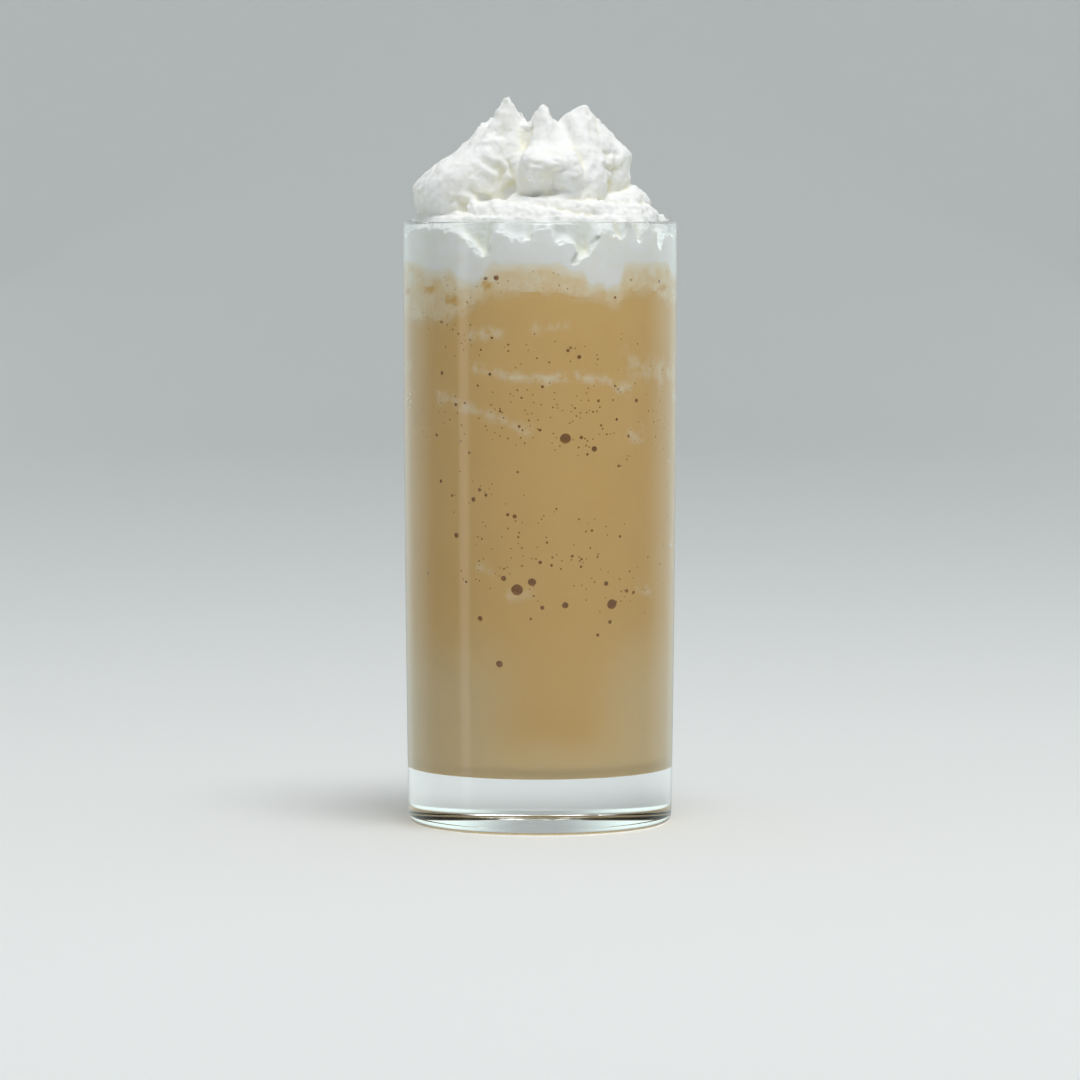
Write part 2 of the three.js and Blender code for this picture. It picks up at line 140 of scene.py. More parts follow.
# Streaks of pale foam in the coffee, as a course of bearing and height with a half thickness
# and a strength
STREAKS = [
    ([(-30, 116.2), (-17, 116.4)], 1.1, 0.9),
    ([(-2, 118.2), (11, 118.1)], 1, 0.7),
    ([(-29, 108.4), (-11, 106.3), (3, 105.8), (16, 106.6), (28, 105.6), (42, 103)], 0.85, 1),
    ([(-49, 101.8), (-27, 98.2), (-17, 96.4), (-5, 94)], 0.95, 0.8),
    ([(44, 108.6), (62, 107.4), (80, 107)], 2.6, 0.7),
    ([(44, 92.8), (49, 92.2)], 1.4, 0.8),
    ([(-13, 55.8), (-5, 56.6)], 0.9, 0.6),
    ([(-27, 61.9), (-22, 61.7)], 0.8, 0.5),
    ([(49, 57.4), (55, 56)], 1.1, 0.6),
    ([(80, 101), (104, 98.6), (121, 99.6)], 1, 0.9),
    ([(118, 108), (140, 106), (163, 106.8), (186, 104)], 1, 0.9),
    ([(196, 99), (219, 96), (236, 96.6)], 1.2, 0.9),
    ([(238, 109), (262, 107), (286, 108)], 1.1, 0.8),
    ([(140, 66), (158, 64)], 1, 0.6),
    ([(205, 62), (216, 61)], 1, 0.6),
]

# A streak's thickness wanders by a share of itself, in waves of a size, and its edge is a fade
# between two shares of it
STREAK_WANDER = 0.8
STREAK_WAVES = 3
STREAK_FADE = (0.1, 2.1)

# Fine foam clouds the drink low down, fading out between two heights, apart from clearer drops,
# each a bearing and a half width, whose feet fade between two heights
HAZE = 0.22
HAZE_TOP = (30, 54)
DROPS = [(8, 27), (128, 24), (232, 30)]
DROP_FEET = (13, 25)
DROP_CLEARNESS = 0.85

# Patches of coffee carried up into the froth, as bearing, height, half width and half height
STAINS = [
    (-55, 126.1, 2.2, 1), (-41, 123.9, 2, 1.3), (-24, 127.5, 1.6, 0.9), (66, 126.4, 2.6, 0.9),
    (110, 127, 2.4, 1), (163, 126.6, 3, 1), (232, 125.4, 2.4, 1.2), (282, 125.6, 2.6, 1),
]

# Smears of cream worked into the froth, as bearing, height, half width and half height
SMEARS = [
    (11, 131.2, 2.6, 1.5), (57, 130.8, 2, 1.9), (-50, 130.4, 3.4, 1.8), (-72, 129, 2, 1.6),
    (102, 130.8, 3, 1.6), (151, 131, 2.6, 1.8), (197, 130.6, 2.4, 1.4), (243, 131, 3, 1.6),
]

# Where the cream is pressed flat against the glass: rounded patches rising from the froth, as
# bearing, half width in degrees and height of the top, with how full their outline is, layers of
# height and grain size that make it ragged, and how the cream leaves the wall over them, as rise
# and distance from the wall
PATCHES = [
    (-94, 15, 142.2), (-57, 31, 140.6), (-17, 7, 139.8), (-9, 6, 138.4), (1, 7, 140.8),
    (11, 6, 137.6), (30, 8.5, 140.2), (42, 5.6, 141.6), (55, 8, 141), (72, 9, 139.4),
    (92, 15, 142.2), (125, 12, 138.6), (149, 11, 140.8), (175, 14, 139.2), (203, 12, 141),
    (228, 13, 138.6), (251, 10, 140.6), (272, 11, 139.4),
]
PATCH_FOOT = 134
PATCH_FULLNESS = 3.4
PATCH_RAGGED = [(0.35, 1.8)]
PATCH_EDGE = [(0.15, 0.4), (0.6, 1.1), (1.3, 1.6)]

# Facets round the plug of cream, and its rings up the wall, as shares of the way
PLUG_STEPS = 480
PLUG_SIDE = np.linspace(0.06, 1, 40)

# The plug's foot reaches the lowest that the froth's top is within these degrees of it
NEARBY = (-1.6, -0.8, 0, 0.8, 1.6)

# Grooves between the cream and the glass, as bearing, height, half width along the wall, half
# height, depth and tilt in degrees
GROOVES = [
    (20, 135.6, 0.9, 5.2, 1.2, 48), (112, 134.6, 1, 4.6, 1.6, -38),
    (188, 134.8, 1, 4.4, 1.6, 40), (238, 134.4, 1.2, 4.4, 1.5, -30),
]

# The crown's petals, each as its bearing, how far that turns from foot to crest, half width in
# degrees, share of the width left at the crest, fullness, and the profile up its ridge as radius
# and height: its tuck, belly, shoulder, upper edge and crest
PETALS = [
    # Left wing
    (-84, 11, 48, 0.62, 3, [[26.4, 143], [28.8, 149.8], [24.8, 155], [18, 160], [13, 164.3]]),
    # Left peak
    (-42, -1, 14, 1, 1.6, [[14, 147], [15, 152.5], [15.4, 158], [13.6, 163], [11.7, 166]]),
    # Front tongue
    (1, 7, 30, 0.6, 2.6, [[16, 147.4], [19.4, 149], [23.4, 156.2], [15.2, 160], [10, 166]]),
    # Right peak
    (31, 21, 29, 0.85, 2.8, [[20.6, 146], [21.6, 151], [19.8, 157], [16.4, 162.6], [12.6, 166.4]]),
    # Right shoulder
    (84, 4, 30, 0.9, 2.6, [[20.2, 149.6], [21.4, 155.2], [20.2, 159], [16.8, 162.6], [12.6, 165.4]]),
    # Back right
    (135, 5, 26, 0.9, 2.4, [[18, 146], [23, 150.6], [21, 156], [17, 161], [11, 164.6]]),
    # Back
    (186, 5, 30, 0.8, 3, [[17, 145.4], [23.6, 149.4], [22.4, 155], [17.5, 161], [10.5, 164.8]]),
    # Back left
    (234, 3, 27, 0.9, 2.4, [[19, 145], [24, 150], [22, 155.5], [17.5, 160], [12, 163.6]]),
]

# The crown's profile in the valleys between its petals, at the same five levels, and its two
# ends: the base under it, and the middle of the hollow inside its crest
VALLEY = [[14, 147], [14.5, 151.5], [14, 156], [12.4, 160.6], [9, 165]]
CROWN_BASE = [10, 141]
HOLLOW_MIDDLE = [4.2, 162.6]

# Torn peaks along the crest, as bearing, half width in degrees and rise, and how full they are
TEETH = [
    (-42, 9.5, 5.6), (5, 11, 3.9), (-8, 5, 2.4), (51, 14, 3), (36, 6, 1.4), (70, 6, 0.8),
    (104, 10, 1.8), (132, 9, 1.8), (184, 9, 3.2), (209, 9, 2.6), (236, 10, 2), (262, 10, 1.6),
]
TOOTH_FULLNESS = 1.4

# The heart of the pile under the crown, as radius and height
HEART = [(27.6, 143.2), (24, 143), (18.5, 147), (12, 151)]

# Unevenness of the crown, its crest and the rope, as layers of height and grain size
CROWN_SWELL = [(0.7, 5), (0.5, 2.6)]
CREST_TEAR = [(0.5, 2.1), (0.3, 1.1)]
ROPE_SWELL = [(0.7, 5), (0.5, 2.4), (0.35, 1.3)]

# Piped ridges sway and stray by these degrees on their way up the crown, and show between two
# fades, each a pair of shares of the climb. The crest is torn about one share of it.
RIDGE_SWAY = 14
RIDGE_STRAY = 5
RIDGE_FOOT = (0.12, 0.3)
RIDGE_HEAD = (0.86, 0.95)
CREST = 0.84
CREST_SPREAD = 0.07

# The foot of the pile is rougher, up to a fade between two heights
ROUGH_TOP = (146.5, 150)

# Cream this near to the wall is pressed to it, and cream less than the clearance away is drawn
# off it, up to a little above the rim
CLING = 0.12
CLEARANCE = 0.5
ABOVE_RIM = 0.6

# How far a vertex stands out from its neighbourhood where ridges begin and end, and where the
# painted shade in the folds begins and is full
RIDGE_BULGE = (0.02, 0.36)
FOLD_BULGE = (0.1, -0.5)

# Deep hollows between the folds, as bearing, distance from the axis, height, half width, half
# height, depth and tilt in degrees
HOLLOWS = [
    (-30, 18.4, 149, 2.3, 4.4, 6, 34), (-39, 20.4, 147.4, 2.8, 1.5, 4, 4),
    (112, 21, 151, 2, 4, 5, -15), (210, 21, 150, 2.2, 4, 6, 18),
]

# Creases pressed into the petals, and ridges where the depth is negative, as bearing and height
# of the two ends, half width and depth
CREASES = [
    (-46, 156, -39, 151, 0.5, -0.7), (-45, 158.8, -31, 153.2, 0.6, -0.7),
    (-45, 161.5, -30, 155, 0.6, -0.7), (-48, 150, -44, 147.6, 0.7, 0.9),
    (-57, 147.6, -49, 145.4, 0.7, 0.9), (-38, 158.6, -26, 152.6, 0.5, 0.6),
    (-8, 155.6, 4, 155.4, 0.45, 0.45), (7, 153.9, 18, 153.7, 0.5, 0.5),
    (9, 149.4, 16, 149.2, 0.6, 0.8), (-16, 151.4, -6, 151, 0.5, 0.4),
    (46, 155, 68, 153.6, 0.5, 0.6), (44, 152, 66, 150.6, 0.6, 0.7),
    (50, 158.4, 70, 157.6, 0.5, 0.5), (-84, 158, -70, 150, 0.6, 0.5),
    (-104, 154, -92, 147, 0.6, 0.6), (112, 157, 124, 149, 0.6, 0.6),
    (146, 158, 158, 150, 0.6, 0.6), (172, 156, 190, 153, 0.6, 0.6),
    (200, 158, 212, 149, 0.6, 0.6), (228, 156, 244, 151, 0.6, 0.6),
    (-20, 165.6, -19, 157.4, 1.5, 1.3),
    (28, 165.6, 26, 158, 1.1, 1), (8, 166.5, 13, 158.6, 0.7, -0.6),
]

# A crease shows within these degrees of its middle and outside this distance from the axis, and
# fades towards its ends, where it starts at a share of a half wave
CREASE_REACH = 40
CREASE_INSIDE = 10
CREASE_END = 0.1

# The rope of cream round the mouth of the glass at even bearings from the front, as distance
# from the axis, height and radius
ROPE_COURSE = [
    [19.6, 139.2, 8.7], [19, 139, 8.8], [18.6, 141, 9.4], [18.6, 140.2, 9.2],
    [19.4, 139.4, 9], [18.8, 138.8, 9], [17.6, 138.6, 9], [18.4, 138.6, 8.8],
]

# The rope's flutes, how deep the creases between them are, and its facets along it and round it
ROPE_FLUTES = 6
FLUTE_DEPTH = 1.7
ROPE_FACETS = (420, 110)

# Softboxes, as name, place, width and height in metres, the setting of their power, and colour
SOFTBOXES = [
    ("overhead", (0.16, -0.36, 1.36), 0.9, 0.9, "overhead", "#ffffff"),
    ("back_left", (-1.1, 1.15, 0.1), 2.6, 1.3, "side", "#e6faf4"),
    ("back_right", (1.1, 1.15, 0.1), 2.6, 1.3, "side", "#e6faf4"),
    ("strip", (-1.11, -0.48, 0.1), 0.32, 0.9, "strip", "#ffffff"),
    ("table", (0, 0, -0.0001), 0.056, 0.056, "table", "#ffffff"),
]

# The round paper sweep: the floor lies a hair below the glass and bends up to a wall
SWEEP_RADIUS = 2200
SWEEP_BEND = 550
SWEEP_HEIGHT = 1700
SWEEP_STEPS = 96
FLOOR_DROP = 0.2

# The light all round, and how a softbox fades: none at its edge, half its width from the middle,
# and all of it within a share of that width
SKY_COLOUR = "#f4f7fa"
SOFTBOX_FADE = (0.5, 0.12)


def linear(code):
    """An sRGB hex colour as linear red, green, blue and alpha."""
    channels = [int(code[i:i + 2], 16) / 255 for i in (1, 3, 5)]
    curve = [c / 12.92 if c <= 0.04045 else ((c + 0.055) / 1.055) ** 2.4 for c in channels]
    return (*curve, 1.0)


def eased(low, high, value):
    """0 below low, 1 above high, and a smooth step between them."""
    share = np.clip((value - low) / (high - low), 0, 1)
    return share * share * (3 - 2 * share)


def bearings(steps):
    """Even bearings round the axis."""
    return np.arange(steps) / steps * 360


def polar(bearing, radius, height):
    """The point at a bearing, a distance from the axis and a height."""
    angle = np.radians(bearing)
    parts = np.broadcast_arrays(radius * np.sin(angle), -radius * np.cos(angle), height)
    return np.stack(parts, axis=-1).astype(float)


def where(points):
    """The bearing, distance from the axis and height of each point."""
    bearing = np.degrees(np.arctan2(points[:, 0], -points[:, 1]))
    return bearing, np.hypot(points[:, 0], points[:, 1]), points[:, 2]


def bearing_between(a, b):
    """How far round the circle two bearings are from each other."""
    return np.abs((np.asarray(a) - b + 540) % 360 - 180)


def beside(x, y, dx, dy):
    """How far along the line from (0, 0) to (dx, dy) a point is, as a share, and how far off."""
    share = np.clip((x * dx + y * dy) / (dx * dx + dy * dy), 0, 1)
    return share, np.hypot(x - share * dx, y - share * dy)


def grain(points, size):
    """Smooth noise between about -1 and 1 at each point, in grains of a size in millimetres."""
    scaled = np.asarray(points).reshape(-1, 3) / size
    values = np.array([noise.noise(Vector(point)) for point in scaled])
    return values.reshape(np.shape(points)[:-1])


def layered_grain(points, layers):
    """Noise in layers, each a height and a grain size in millimetres."""
    return sum(height * grain(points, size) for height, size in layers)


def sizes():
    """The glass's sizes."""
    return bpy.context.scene.iced_coffee_glass


def outer_radius(height):
    """The glass leans out slightly from foot to rim, most of it low down."""
    foot = sizes().foot_radius / MM
    below = np.clip(1 - height / RIM_HEIGHT, 0, 1)
    return foot + (RIM_RADIUS - foot) * (1 - below ** 2)


def inner_radius(height):
    """The inside of the glass."""
    return outer_radius(height) - sizes().wall / MM


def boundary(level, tongues, bearing, share):
    """The height of a boundary inside the glass: its tongues fade towards the axis."""
    hang = sum(
        depth * np.exp(-((bearing_between(bearing, middle) / half_width) ** 4))
        for middle, half_width, depth in tongues
    )
    return level - hang * share ** 2


def coffee_top(bearing, share=1.0):
    """Where the coffee meets the froth."""
    return boundary(COFFEE_LEVEL, FROTH_TONGUES, bearing, share)


def froth_top(bearing, share=1.0):
    """Where the froth meets the cream."""
    return boundary(FROTH_LEVEL, CREAM_TONGUES, bearing, share)


def new_object(name, data):
    """An object in the scene, at the origin."""
    thing = bpy.data.objects.new(name, data)
    bpy.context.scene.collection.objects.link(thing)
    return thing


def new_piece(name, points, faces):
    """A mesh object in metres at the origin, from points in millimetres."""
    mesh = bpy.data.meshes.new(name)
    mesh.from_pydata((np.asarray(points) * MM).tolist(), [], faces)
    mesh.validate()
    return new_object(name, mesh)


def ringed_mesh(rings):
    """Points and faces of a closed body through rings of radius and height, ending on the axis.

    The rings run so that the outside is on the right hand: up the side, then in over the top.
    """
    rings = list(rings)
    rows, steps = len(rings), max(np.size(height) for _, height in rings)
    radius, height = (
        np.array([np.broadcast_to(value, steps) for value in values]) for values in zip(*rings)
    )
    points = polar(bearings(steps), radius, height).reshape(-1, 3)
    points = np.vstack([points, [0, 0, height[0].mean()], [0, 0, height[-1].mean()]])
    here = np.arange(steps)
    beyond = (here + 1) % steps
    faces = []
    for row in range(rows - 1):
        a, b = row * steps + here, row * steps + beyond
        faces += np.stack([a, b, b + steps, a + steps], axis=1).tolist()
    foot, last = rows * steps, (rows - 1) * steps
    sides = list(zip(here.tolist(), beyond.tolist()))
    faces += [[foot, b, a] for a, b in sides]
    faces += [[foot + 1, last + a, last + b] for a, b in sides]
    return points, faces


def settle(piece):
    """Turns what a piece's modifiers make into its plain mesh."""
    depsgraph = bpy.context.evaluated_depsgraph_get()
    depsgraph.update()
    mesh = bpy.data.meshes.new_from_object(piece.evaluated_get(depsgraph))
    piece.modifiers.clear()
    spent = piece.data
    piece.data = mesh
    bpy.data.meshes.remove(spent)


def combine(piece, other, operation):
    """Joins or cuts a piece by another closed piece, which is used up."""
    modifier = piece.modifiers.new("combine", "BOOLEAN")
    modifier.operation = operation
    modifier.solver = "MANIFOLD"
    modifier.object = other
    settle(piece)
    spent = other.data
    bpy.data.objects.remove(other)
    bpy.data.meshes.remove(spent)


def vertex_rows(mesh, kind):
    """One thing that a mesh knows of its vertices, such as their normals, as rows of three."""
    values = np.empty(len(mesh.vertices) * 3)
    mesh.vertices.foreach_get(kind, values)
    return values.reshape(-1, 3)


def coordinates(mesh):
    """A mesh's vertices as rows of millimetres."""
    return vertex_rows(mesh, "co") / MM


def set_coordinates(mesh, points):
    """Moves a mesh's vertices to rows of millimetres."""
    mesh.vertices.foreach_set("co", (points * MM).ravel())
    mesh.update()


def paint(mesh, name, values):
    """Stores one number a vertex for a material to read."""
    layer = mesh.attributes.get(name) or mesh.attributes.new(name, "FLOAT", "POINT")
    layer.data.foreach_set("value", np.asarray(values, dtype=np.float32))


def finish(piece, node, material, sharp=None):
    """Shades a piece, gives it its material and stands it in for its CAD node."""
    mesh = piece.data
    mesh.materials.clear()
    mesh.materials.append(material)
    mesh.polygons.foreach_set("material_index", np.zeros(len(mesh.polygons), dtype=np.int32))
    mesh.shade_smooth()
    if sharp is not None:
        mesh.set_sharp_from_angle(angle=math.radians(sharp))
    mesh.update()
    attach(piece, "root")
    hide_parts(node)


def add(tree, kind, inputs=None, **settings):
    """Adds a node, sets it up, and fills or links its inputs by name or number."""
    node = tree.nodes.new(kind)
    for name, value in settings.items():
        setattr(node, name, value)
    for name, value in (inputs or {}).items():
        if isinstance(value, bpy.types.NodeSocket):
            tree.links.new(value, node.inputs[name])
        else:
            node.inputs[name].default_value = value
    return node


def maths(tree, operation, *values):
    """A number worked out from one or more others."""
    return add(tree, "ShaderNodeMath", dict(enumerate(values)), operation=operation).outputs[0]


def ranged(tree, value, low=0.0, high=1.0, to_low=0.0, to_high=1.0, curve="LINEAR"):
    """A number carried over from one range to another, and held in it."""
    return add(tree, "ShaderNodeMapRange", {
        "Value": value, "From Min": low, "From Max": high, "To Min": to_low, "To Max": to_high,
    }, interpolation_type=curve).outputs[0]


def clouds(tree, size, detail, roughness=0.5, distortion=0.0):
    """Noise from about 0 to 1 all through a piece, in clouds of a size in millimetres."""
    return add(tree, "ShaderNodeTexNoise", {
        "Vector": add(tree, "ShaderNodeTexCoord").outputs["Object"],
        "Scale": 1 / (size * MM),
        "Detail": detail,
        "Roughness": roughness,
        "Distortion": distortion,
    }).outputs[0]


def painted(tree, name):
    """The number that was painted on a piece's vertices."""
    return add(tree, "ShaderNodeAttribute", attribute_name=name).outputs["Fac"]


def mix_colour(tree, factor, first, second):
    """A blend of two colours by a factor."""
    node = add(tree, "ShaderNodeMix", {0: factor, 6: first, 7: second}, data_type="RGBA")
    return node.outputs[2]


def new_geometry_tree(name, inputs):
    """A geometry tree with named inputs, each given as its socket type and default."""
    tree = bpy.data.node_groups.new(name, "GeometryNodeTree")
    tree.is_modifier = True
    tree.interface.new_socket("Geometry", in_out="INPUT", socket_type="NodeSocketGeometry")
    for label, (kind, default) in inputs.items():
        socket = tree.interface.new_socket(label, in_out="INPUT", socket_type=kind)
        if default is not None:
            socket.default_value = default
    tree.interface.new_socket("Geometry", in_out="OUTPUT", socket_type="NodeSocketGeometry")
    return tree, add(tree, "NodeGroupInput").outputs


def put_out(tree, geometry, material):
    """Makes a tree's geometry real, gives it a material and puts it out."""
    real = add(tree, "GeometryNodeRealizeInstances", {0: geometry})
    dressed = add(tree, "GeometryNodeSetMaterial", {
        "Geometry": real.outputs[0], "Material": material,
    })
    add(tree, "NodeGroupOutput", {0: dressed.outputs[0]})


def grow(piece, tree, inputs):
    """Runs a geometry tree on a piece and keeps the result as its plain mesh."""
    modifier = piece.modifiers.new(tree.name, "NODES")
    modifier.node_group = tree
    for item in tree.interface.items_tree:
        if item.in_out == "INPUT" and item.name in inputs:
            modifier[item.identifier] = inputs[item.name]
    settle(piece)


def turned_tree():
    """Turns a profile, given as a chain of points in the XZ plane, about the Z axis."""
    tree, given = new_geometry_tree("turned_body", {
        "Steps around": ("NodeSocketInt", 96),
        "Joining distance": ("NodeSocketFloat", 1e-7),
        "Material": ("NodeSocketMaterial", None),
    })
    profile = add(tree, "GeometryNodeAttributeDomainSize", {0: given["Geometry"]})
    rows = profile.outputs["Point Count"]
    grid = add(tree, "GeometryNodeMeshGrid", {
        "Vertices X": maths(tree, "ADD", given["Steps around"], 1.0), "Vertices Y": rows,
    })
    index = add(tree, "GeometryNodeInputIndex").outputs[0]
    column = maths(tree, "FLOOR", maths(tree, "DIVIDE", index, rows))
    angle = maths(
        tree, "MULTIPLY", maths(tree, "DIVIDE", column, given["Steps around"]), math.tau,
    )
    sample = add(tree, "GeometryNodeSampleIndex", {
        "Geometry": given["Geometry"], "Index": maths(tree, "MODULO", index, rows),
    }, data_type="FLOAT_VECTOR", domain="POINT")
    place = add(tree, "GeometryNodeInputPosition").outputs[0]
    tree.links.new(place, sample.inputs["Value"])
    turn = add(tree, "ShaderNodeVectorRotate", {
        "Vector": sample.outputs[0], "Axis": (0, 0, 1), "Angle": angle,
    }, rotation_type="AXIS_ANGLE")
    moved = add(tree, "GeometryNodeSetPosition", {
        "Geometry": grid.outputs["Mesh"], "Position": turn.outputs[0],
    })
    joined = add(tree, "GeometryNodeMergeByDistance", {
        "Geometry": moved.outputs[0], "Distance": given["Joining distance"],
    })
    put_out(tree, joined.outputs[0], given["Material"])
    return tree


def bubble_tree():
    """Scatters bubbles on a surface, thickest where its fizz attribute is near 1."""
    tree, given = new_geometry_tree("bubbles", {
        "Closest spacing": ("NodeSocketFloat", 1.2 * MM),
        "Most per square metre": ("NodeSocketFloat", 400000.0),
        "Smallest radius": ("NodeSocketFloat", 0.12 * MM),
        "Largest radius": ("NodeSocketFloat", 0.3 * MM),
        "Depth share": ("NodeSocketFloat", 0.9),
        "Rarity of large ones": ("NodeSocketFloat", 2.5),
        "Roundness": ("NodeSocketInt", 1),
        "Seed": ("NodeSocketInt", 1),
        "Material": ("NodeSocketMaterial", None),
    })
    fizz = add(tree, "GeometryNodeInputNamedAttribute", {"Name": "fizz"}, data_type="FLOAT")
    spread = add(tree, "GeometryNodeDistributePointsOnFaces", {
        "Mesh": given["Geometry"],
        "Distance Min": given["Closest spacing"],
        "Density Max": given["Most per square metre"],
        "Density Factor": fizz.outputs[0],
        "Seed": given["Seed"],
    }, distribute_method="POISSON")
    draw = add(tree, "FunctionNodeRandomValue", {"Seed": given["Seed"]}, data_type="FLOAT")
    rare = maths(tree, "POWER", draw.outputs[1], given["Rarity of large ones"])
    radius = ranged(
        tree, rare, to_low=given["Smallest radius"], to_high=given["Largest radius"],
    )
    scale = add(tree, "ShaderNodeCombineXYZ", {
        "X": radius, "Y": radius, "Z": maths(tree, "MULTIPLY", radius, given["Depth share"]),
    })
    ball = add(tree, "GeometryNodeMeshIcoSphere", {
        "Radius": 1.0, "Subdivisions": given["Roundness"],
    })
    bubbles = add(tree, "GeometryNodeInstanceOnPoints", {
        "Points": spread.outputs["Points"],
        "Instance": ball.outputs["Mesh"],
        "Rotation": spread.outputs["Rotation"],
        "Scale": scale.outputs[0],
    })
    put_out(tree, bubbles.outputs[0], given["Material"])
    return tree


def new_material(name):
    """A material with an empty tree, and the tree."""
    material = bpy.data.materials.new(name)
    material.use_nodes = True
    material.node_tree.nodes.clear()
    return material, material.node_tree


def shade(tree, inputs):
    """Ends a material's tree with its shader."""
    shader = add(tree, "ShaderNodeBsdfPrincipled", inputs)
    add(tree, "ShaderNodeOutputMaterial", {"Surface": shader.outputs[0]})


def shade_filling(tree, colour):
    """Ends the tree of what is seen through the glass: matt, with no gloss of its own."""
    shade(tree, {"Base Color": colour, "Roughness": 0.5, "Specular IOR Level": 0.0})


def soda_lime_glass():
    """Soda-lime glass, pressed and fire-polished: clear, smooth and faintly green-grey."""
    material, tree = new_material("soda_lime_glass")
    shade(tree, {
        "Base Color": sizes().tint, "Roughness": 0.0, "IOR": 1.5, "Transmission Weight": 1.0,
    })
    return material


def blended_coffee():
    """Coffee blended with milk and ice: opaque tan, matt, clouded by air and foam streaks, and
    with painted shade inside its bubbles.
    """
    looks = bpy.context.scene.iced_coffee_drink
    material, tree = new_material("blended_coffee")
    cloud = ranged(tree, clouds(tree, 16, 3, 0.6), 0.3, 0.7, to_high=0.3)
    body = mix_colour(tree, cloud, looks.coffee, looks.deep_coffee)
    broken = ranged(tree, clouds(tree, 3, 4, 0.6), 0.38, 0.62, to_high=0.8)
    streak = maths(tree, "MULTIPLY", painted(tree, "foam"), broken)
    streaked = mix_colour(tree, streak, body, looks.foam)
    hazy = mix_colour(tree, painted(tree, "haze"), streaked, looks.haze)
    # Painted shade: the drink turns dark brown inside its bubbles, where shade falls in the hollow
    hole = ranged(tree, painted(tree, "hole"), 0.04, 0.3, to_high=0.92)
    shade_filling(tree, mix_colour(tree, hole, hazy, looks.bubble))
    return material


def coffee_froth():
    """Coffee froth, whipped full of fine air: paler than the drink, browner at its foot, and with
    painted shade inside its bubbles.
    """
    looks = bpy.context.scene.iced_coffee_drink
    material, tree = new_material("coffee_froth")
    cloud = ranged(tree, clouds(tree, 5, 4, 0.6), 0.35, 0.65)
    body = mix_colour(tree, cloud, looks.froth, looks.pale_froth)
    ragged = clouds(tree, 1.2, 3, 0.65)
    soaked = maths(tree, "MULTIPLY_ADD", ragged, 1.1, painted(tree, "stain"))
    stained = mix_colour(tree, ranged(tree, soaked, 0.6, 1.35), body, looks.stain)
    creamed = mix_colour(tree, painted(tree, "cream"), stained, looks.creamed_froth)
    # Painted shade: the froth turns brown inside its bubbles, where shade falls in the hollow
    hole = ranged(tree, painted(tree, "hole"), 0.08, 0.4, to_high=0.8)
    shade_filling(tree, mix_colour(tree, hole, creamed, looks.shaded_froth_bubble))
    return material


def whipped_cream():
    """Piped dairy cream: soft white that lets light in, with a fine torn grain, and with a
    painted warm shade in its folds and where it faces down."""
    looks = bpy.context.scene.iced_coffee_cream
    material, tree = new_material("whipped_dairy_cream")
    pressed = painted(tree, "pressed")
    patch = ranged(tree, clouds(tree, 7, 2), 0.4, 0.62)
    # Painted shade: the cream turns a warmer, darker colour in its hollows and where it faces down
    shade_share = maths(tree, "MULTIPLY", painted(tree, "fold"), patch)
    fold_shaded = mix_colour(tree, shade_share, looks.cream, looks.fold)
    dulled = ranged(tree, clouds(tree, 4.5, 3, distortion=0.6), 0.38, 0.66)
    flat = maths(tree, "MULTIPLY", pressed, dulled)
    clouded = mix_colour(tree, flat, fold_shaded, looks.pressed)
    relief = add(tree, "ShaderNodeBump", {
        "Height": clouds(tree, 0.9, 3, 0.6),
        "Strength": ranged(tree, pressed, to_low=0.4, to_high=0.0),
        "Distance": 0.25 * MM,
    })
    shade(tree, {
        "Base Color": mix_colour(tree, painted(tree, "frothy"), clouded, looks.frothy),
        "Roughness": 0.55,
        "Specular IOR Level": 0.25,
        "Subsurface Weight": 0.3,
        "Subsurface Radius": (1.0, 0.96, 0.86),
        "Subsurface Scale": 1.5 * MM,
        "Normal": relief.outputs[0],
    })
    return material


def studio_paper():
    """Matt off-white background paper: even and soft, with no gloss."""
    material, tree = new_material("background_paper")
    paper = bpy.context.scene.iced_coffee_studio.paper
    shade(tree, {"Base Color": paper, "Roughness": 0.9, "Specular IOR Level": 0.1})
    return material


def arc(centre, radius, start, end, steps):
    """Points along an arc in the XZ plane, from one angle to another in degrees."""
    angles = np.radians(np.linspace(start, end, steps))
    return [(centre[0] + radius * math.cos(a), centre[1] + radius * math.sin(a)) for a in angles]


def turned_piece(name, profile, steps, material):
    """A profile of radius and height in millimetres, turned about the axis."""
    mesh = bpy.data.meshes.new(name)
    points = [(radius * MM, 0, height * MM) for radius, height in profile]
    mesh.from_pydata(points, [(i, i + 1) for i in range(len(points) - 1)], [])
    piece = new_object(name, mesh)
    grow(piece, turned_tree(), {"Steps around": steps, "Material": material})
    return piece


def glass_profile():
    """The glass's section, from under its foot, up the outside, over the rim and down inside."""
    shape = sizes()
    foot, heel, wall = shape.foot_radius / MM, shape.heel / MM, shape.wall / MM
    floor, corner = shape.floor_height / MM, shape.floor_corner / MM
    dimple, deep = shape.dimple_radius / MM, shape.dimple_depth / MM
    lip = wall / 2
    top = RIM_HEIGHT - lip
    profile = [(dimple * s, deep * (1 - s * s)) for s in np.linspace(0, 1, 16)]
    profile += arc((foot - heel, heel), heel, -90, 0, 10)
    profile += [(float(outer_radius(z)), z) for z in np.linspace(heel + 3, top, 40)]
    profile += arc((float(outer_radius(top)) - lip, top), lip, 0, 180, 17)[1:]
    profile += [(float(inner_radius(z)), z) for z in np.linspace(top, floor + corner, 40)[1:]]
    centre = float(inner_radius(floor + corner)) - corner
    profile += arc((centre, floor + corner), corner, 0, -90, 12)[1:]
    profile += [(centre * s, floor) for s in (0.66, 0.33, 0)]
    return profile


def side_ring(height, share, reach):
    """A ring of a filling, at a share of the way from the axis to just inside the wall."""
    return share * (inner_radius(height) + reach), height


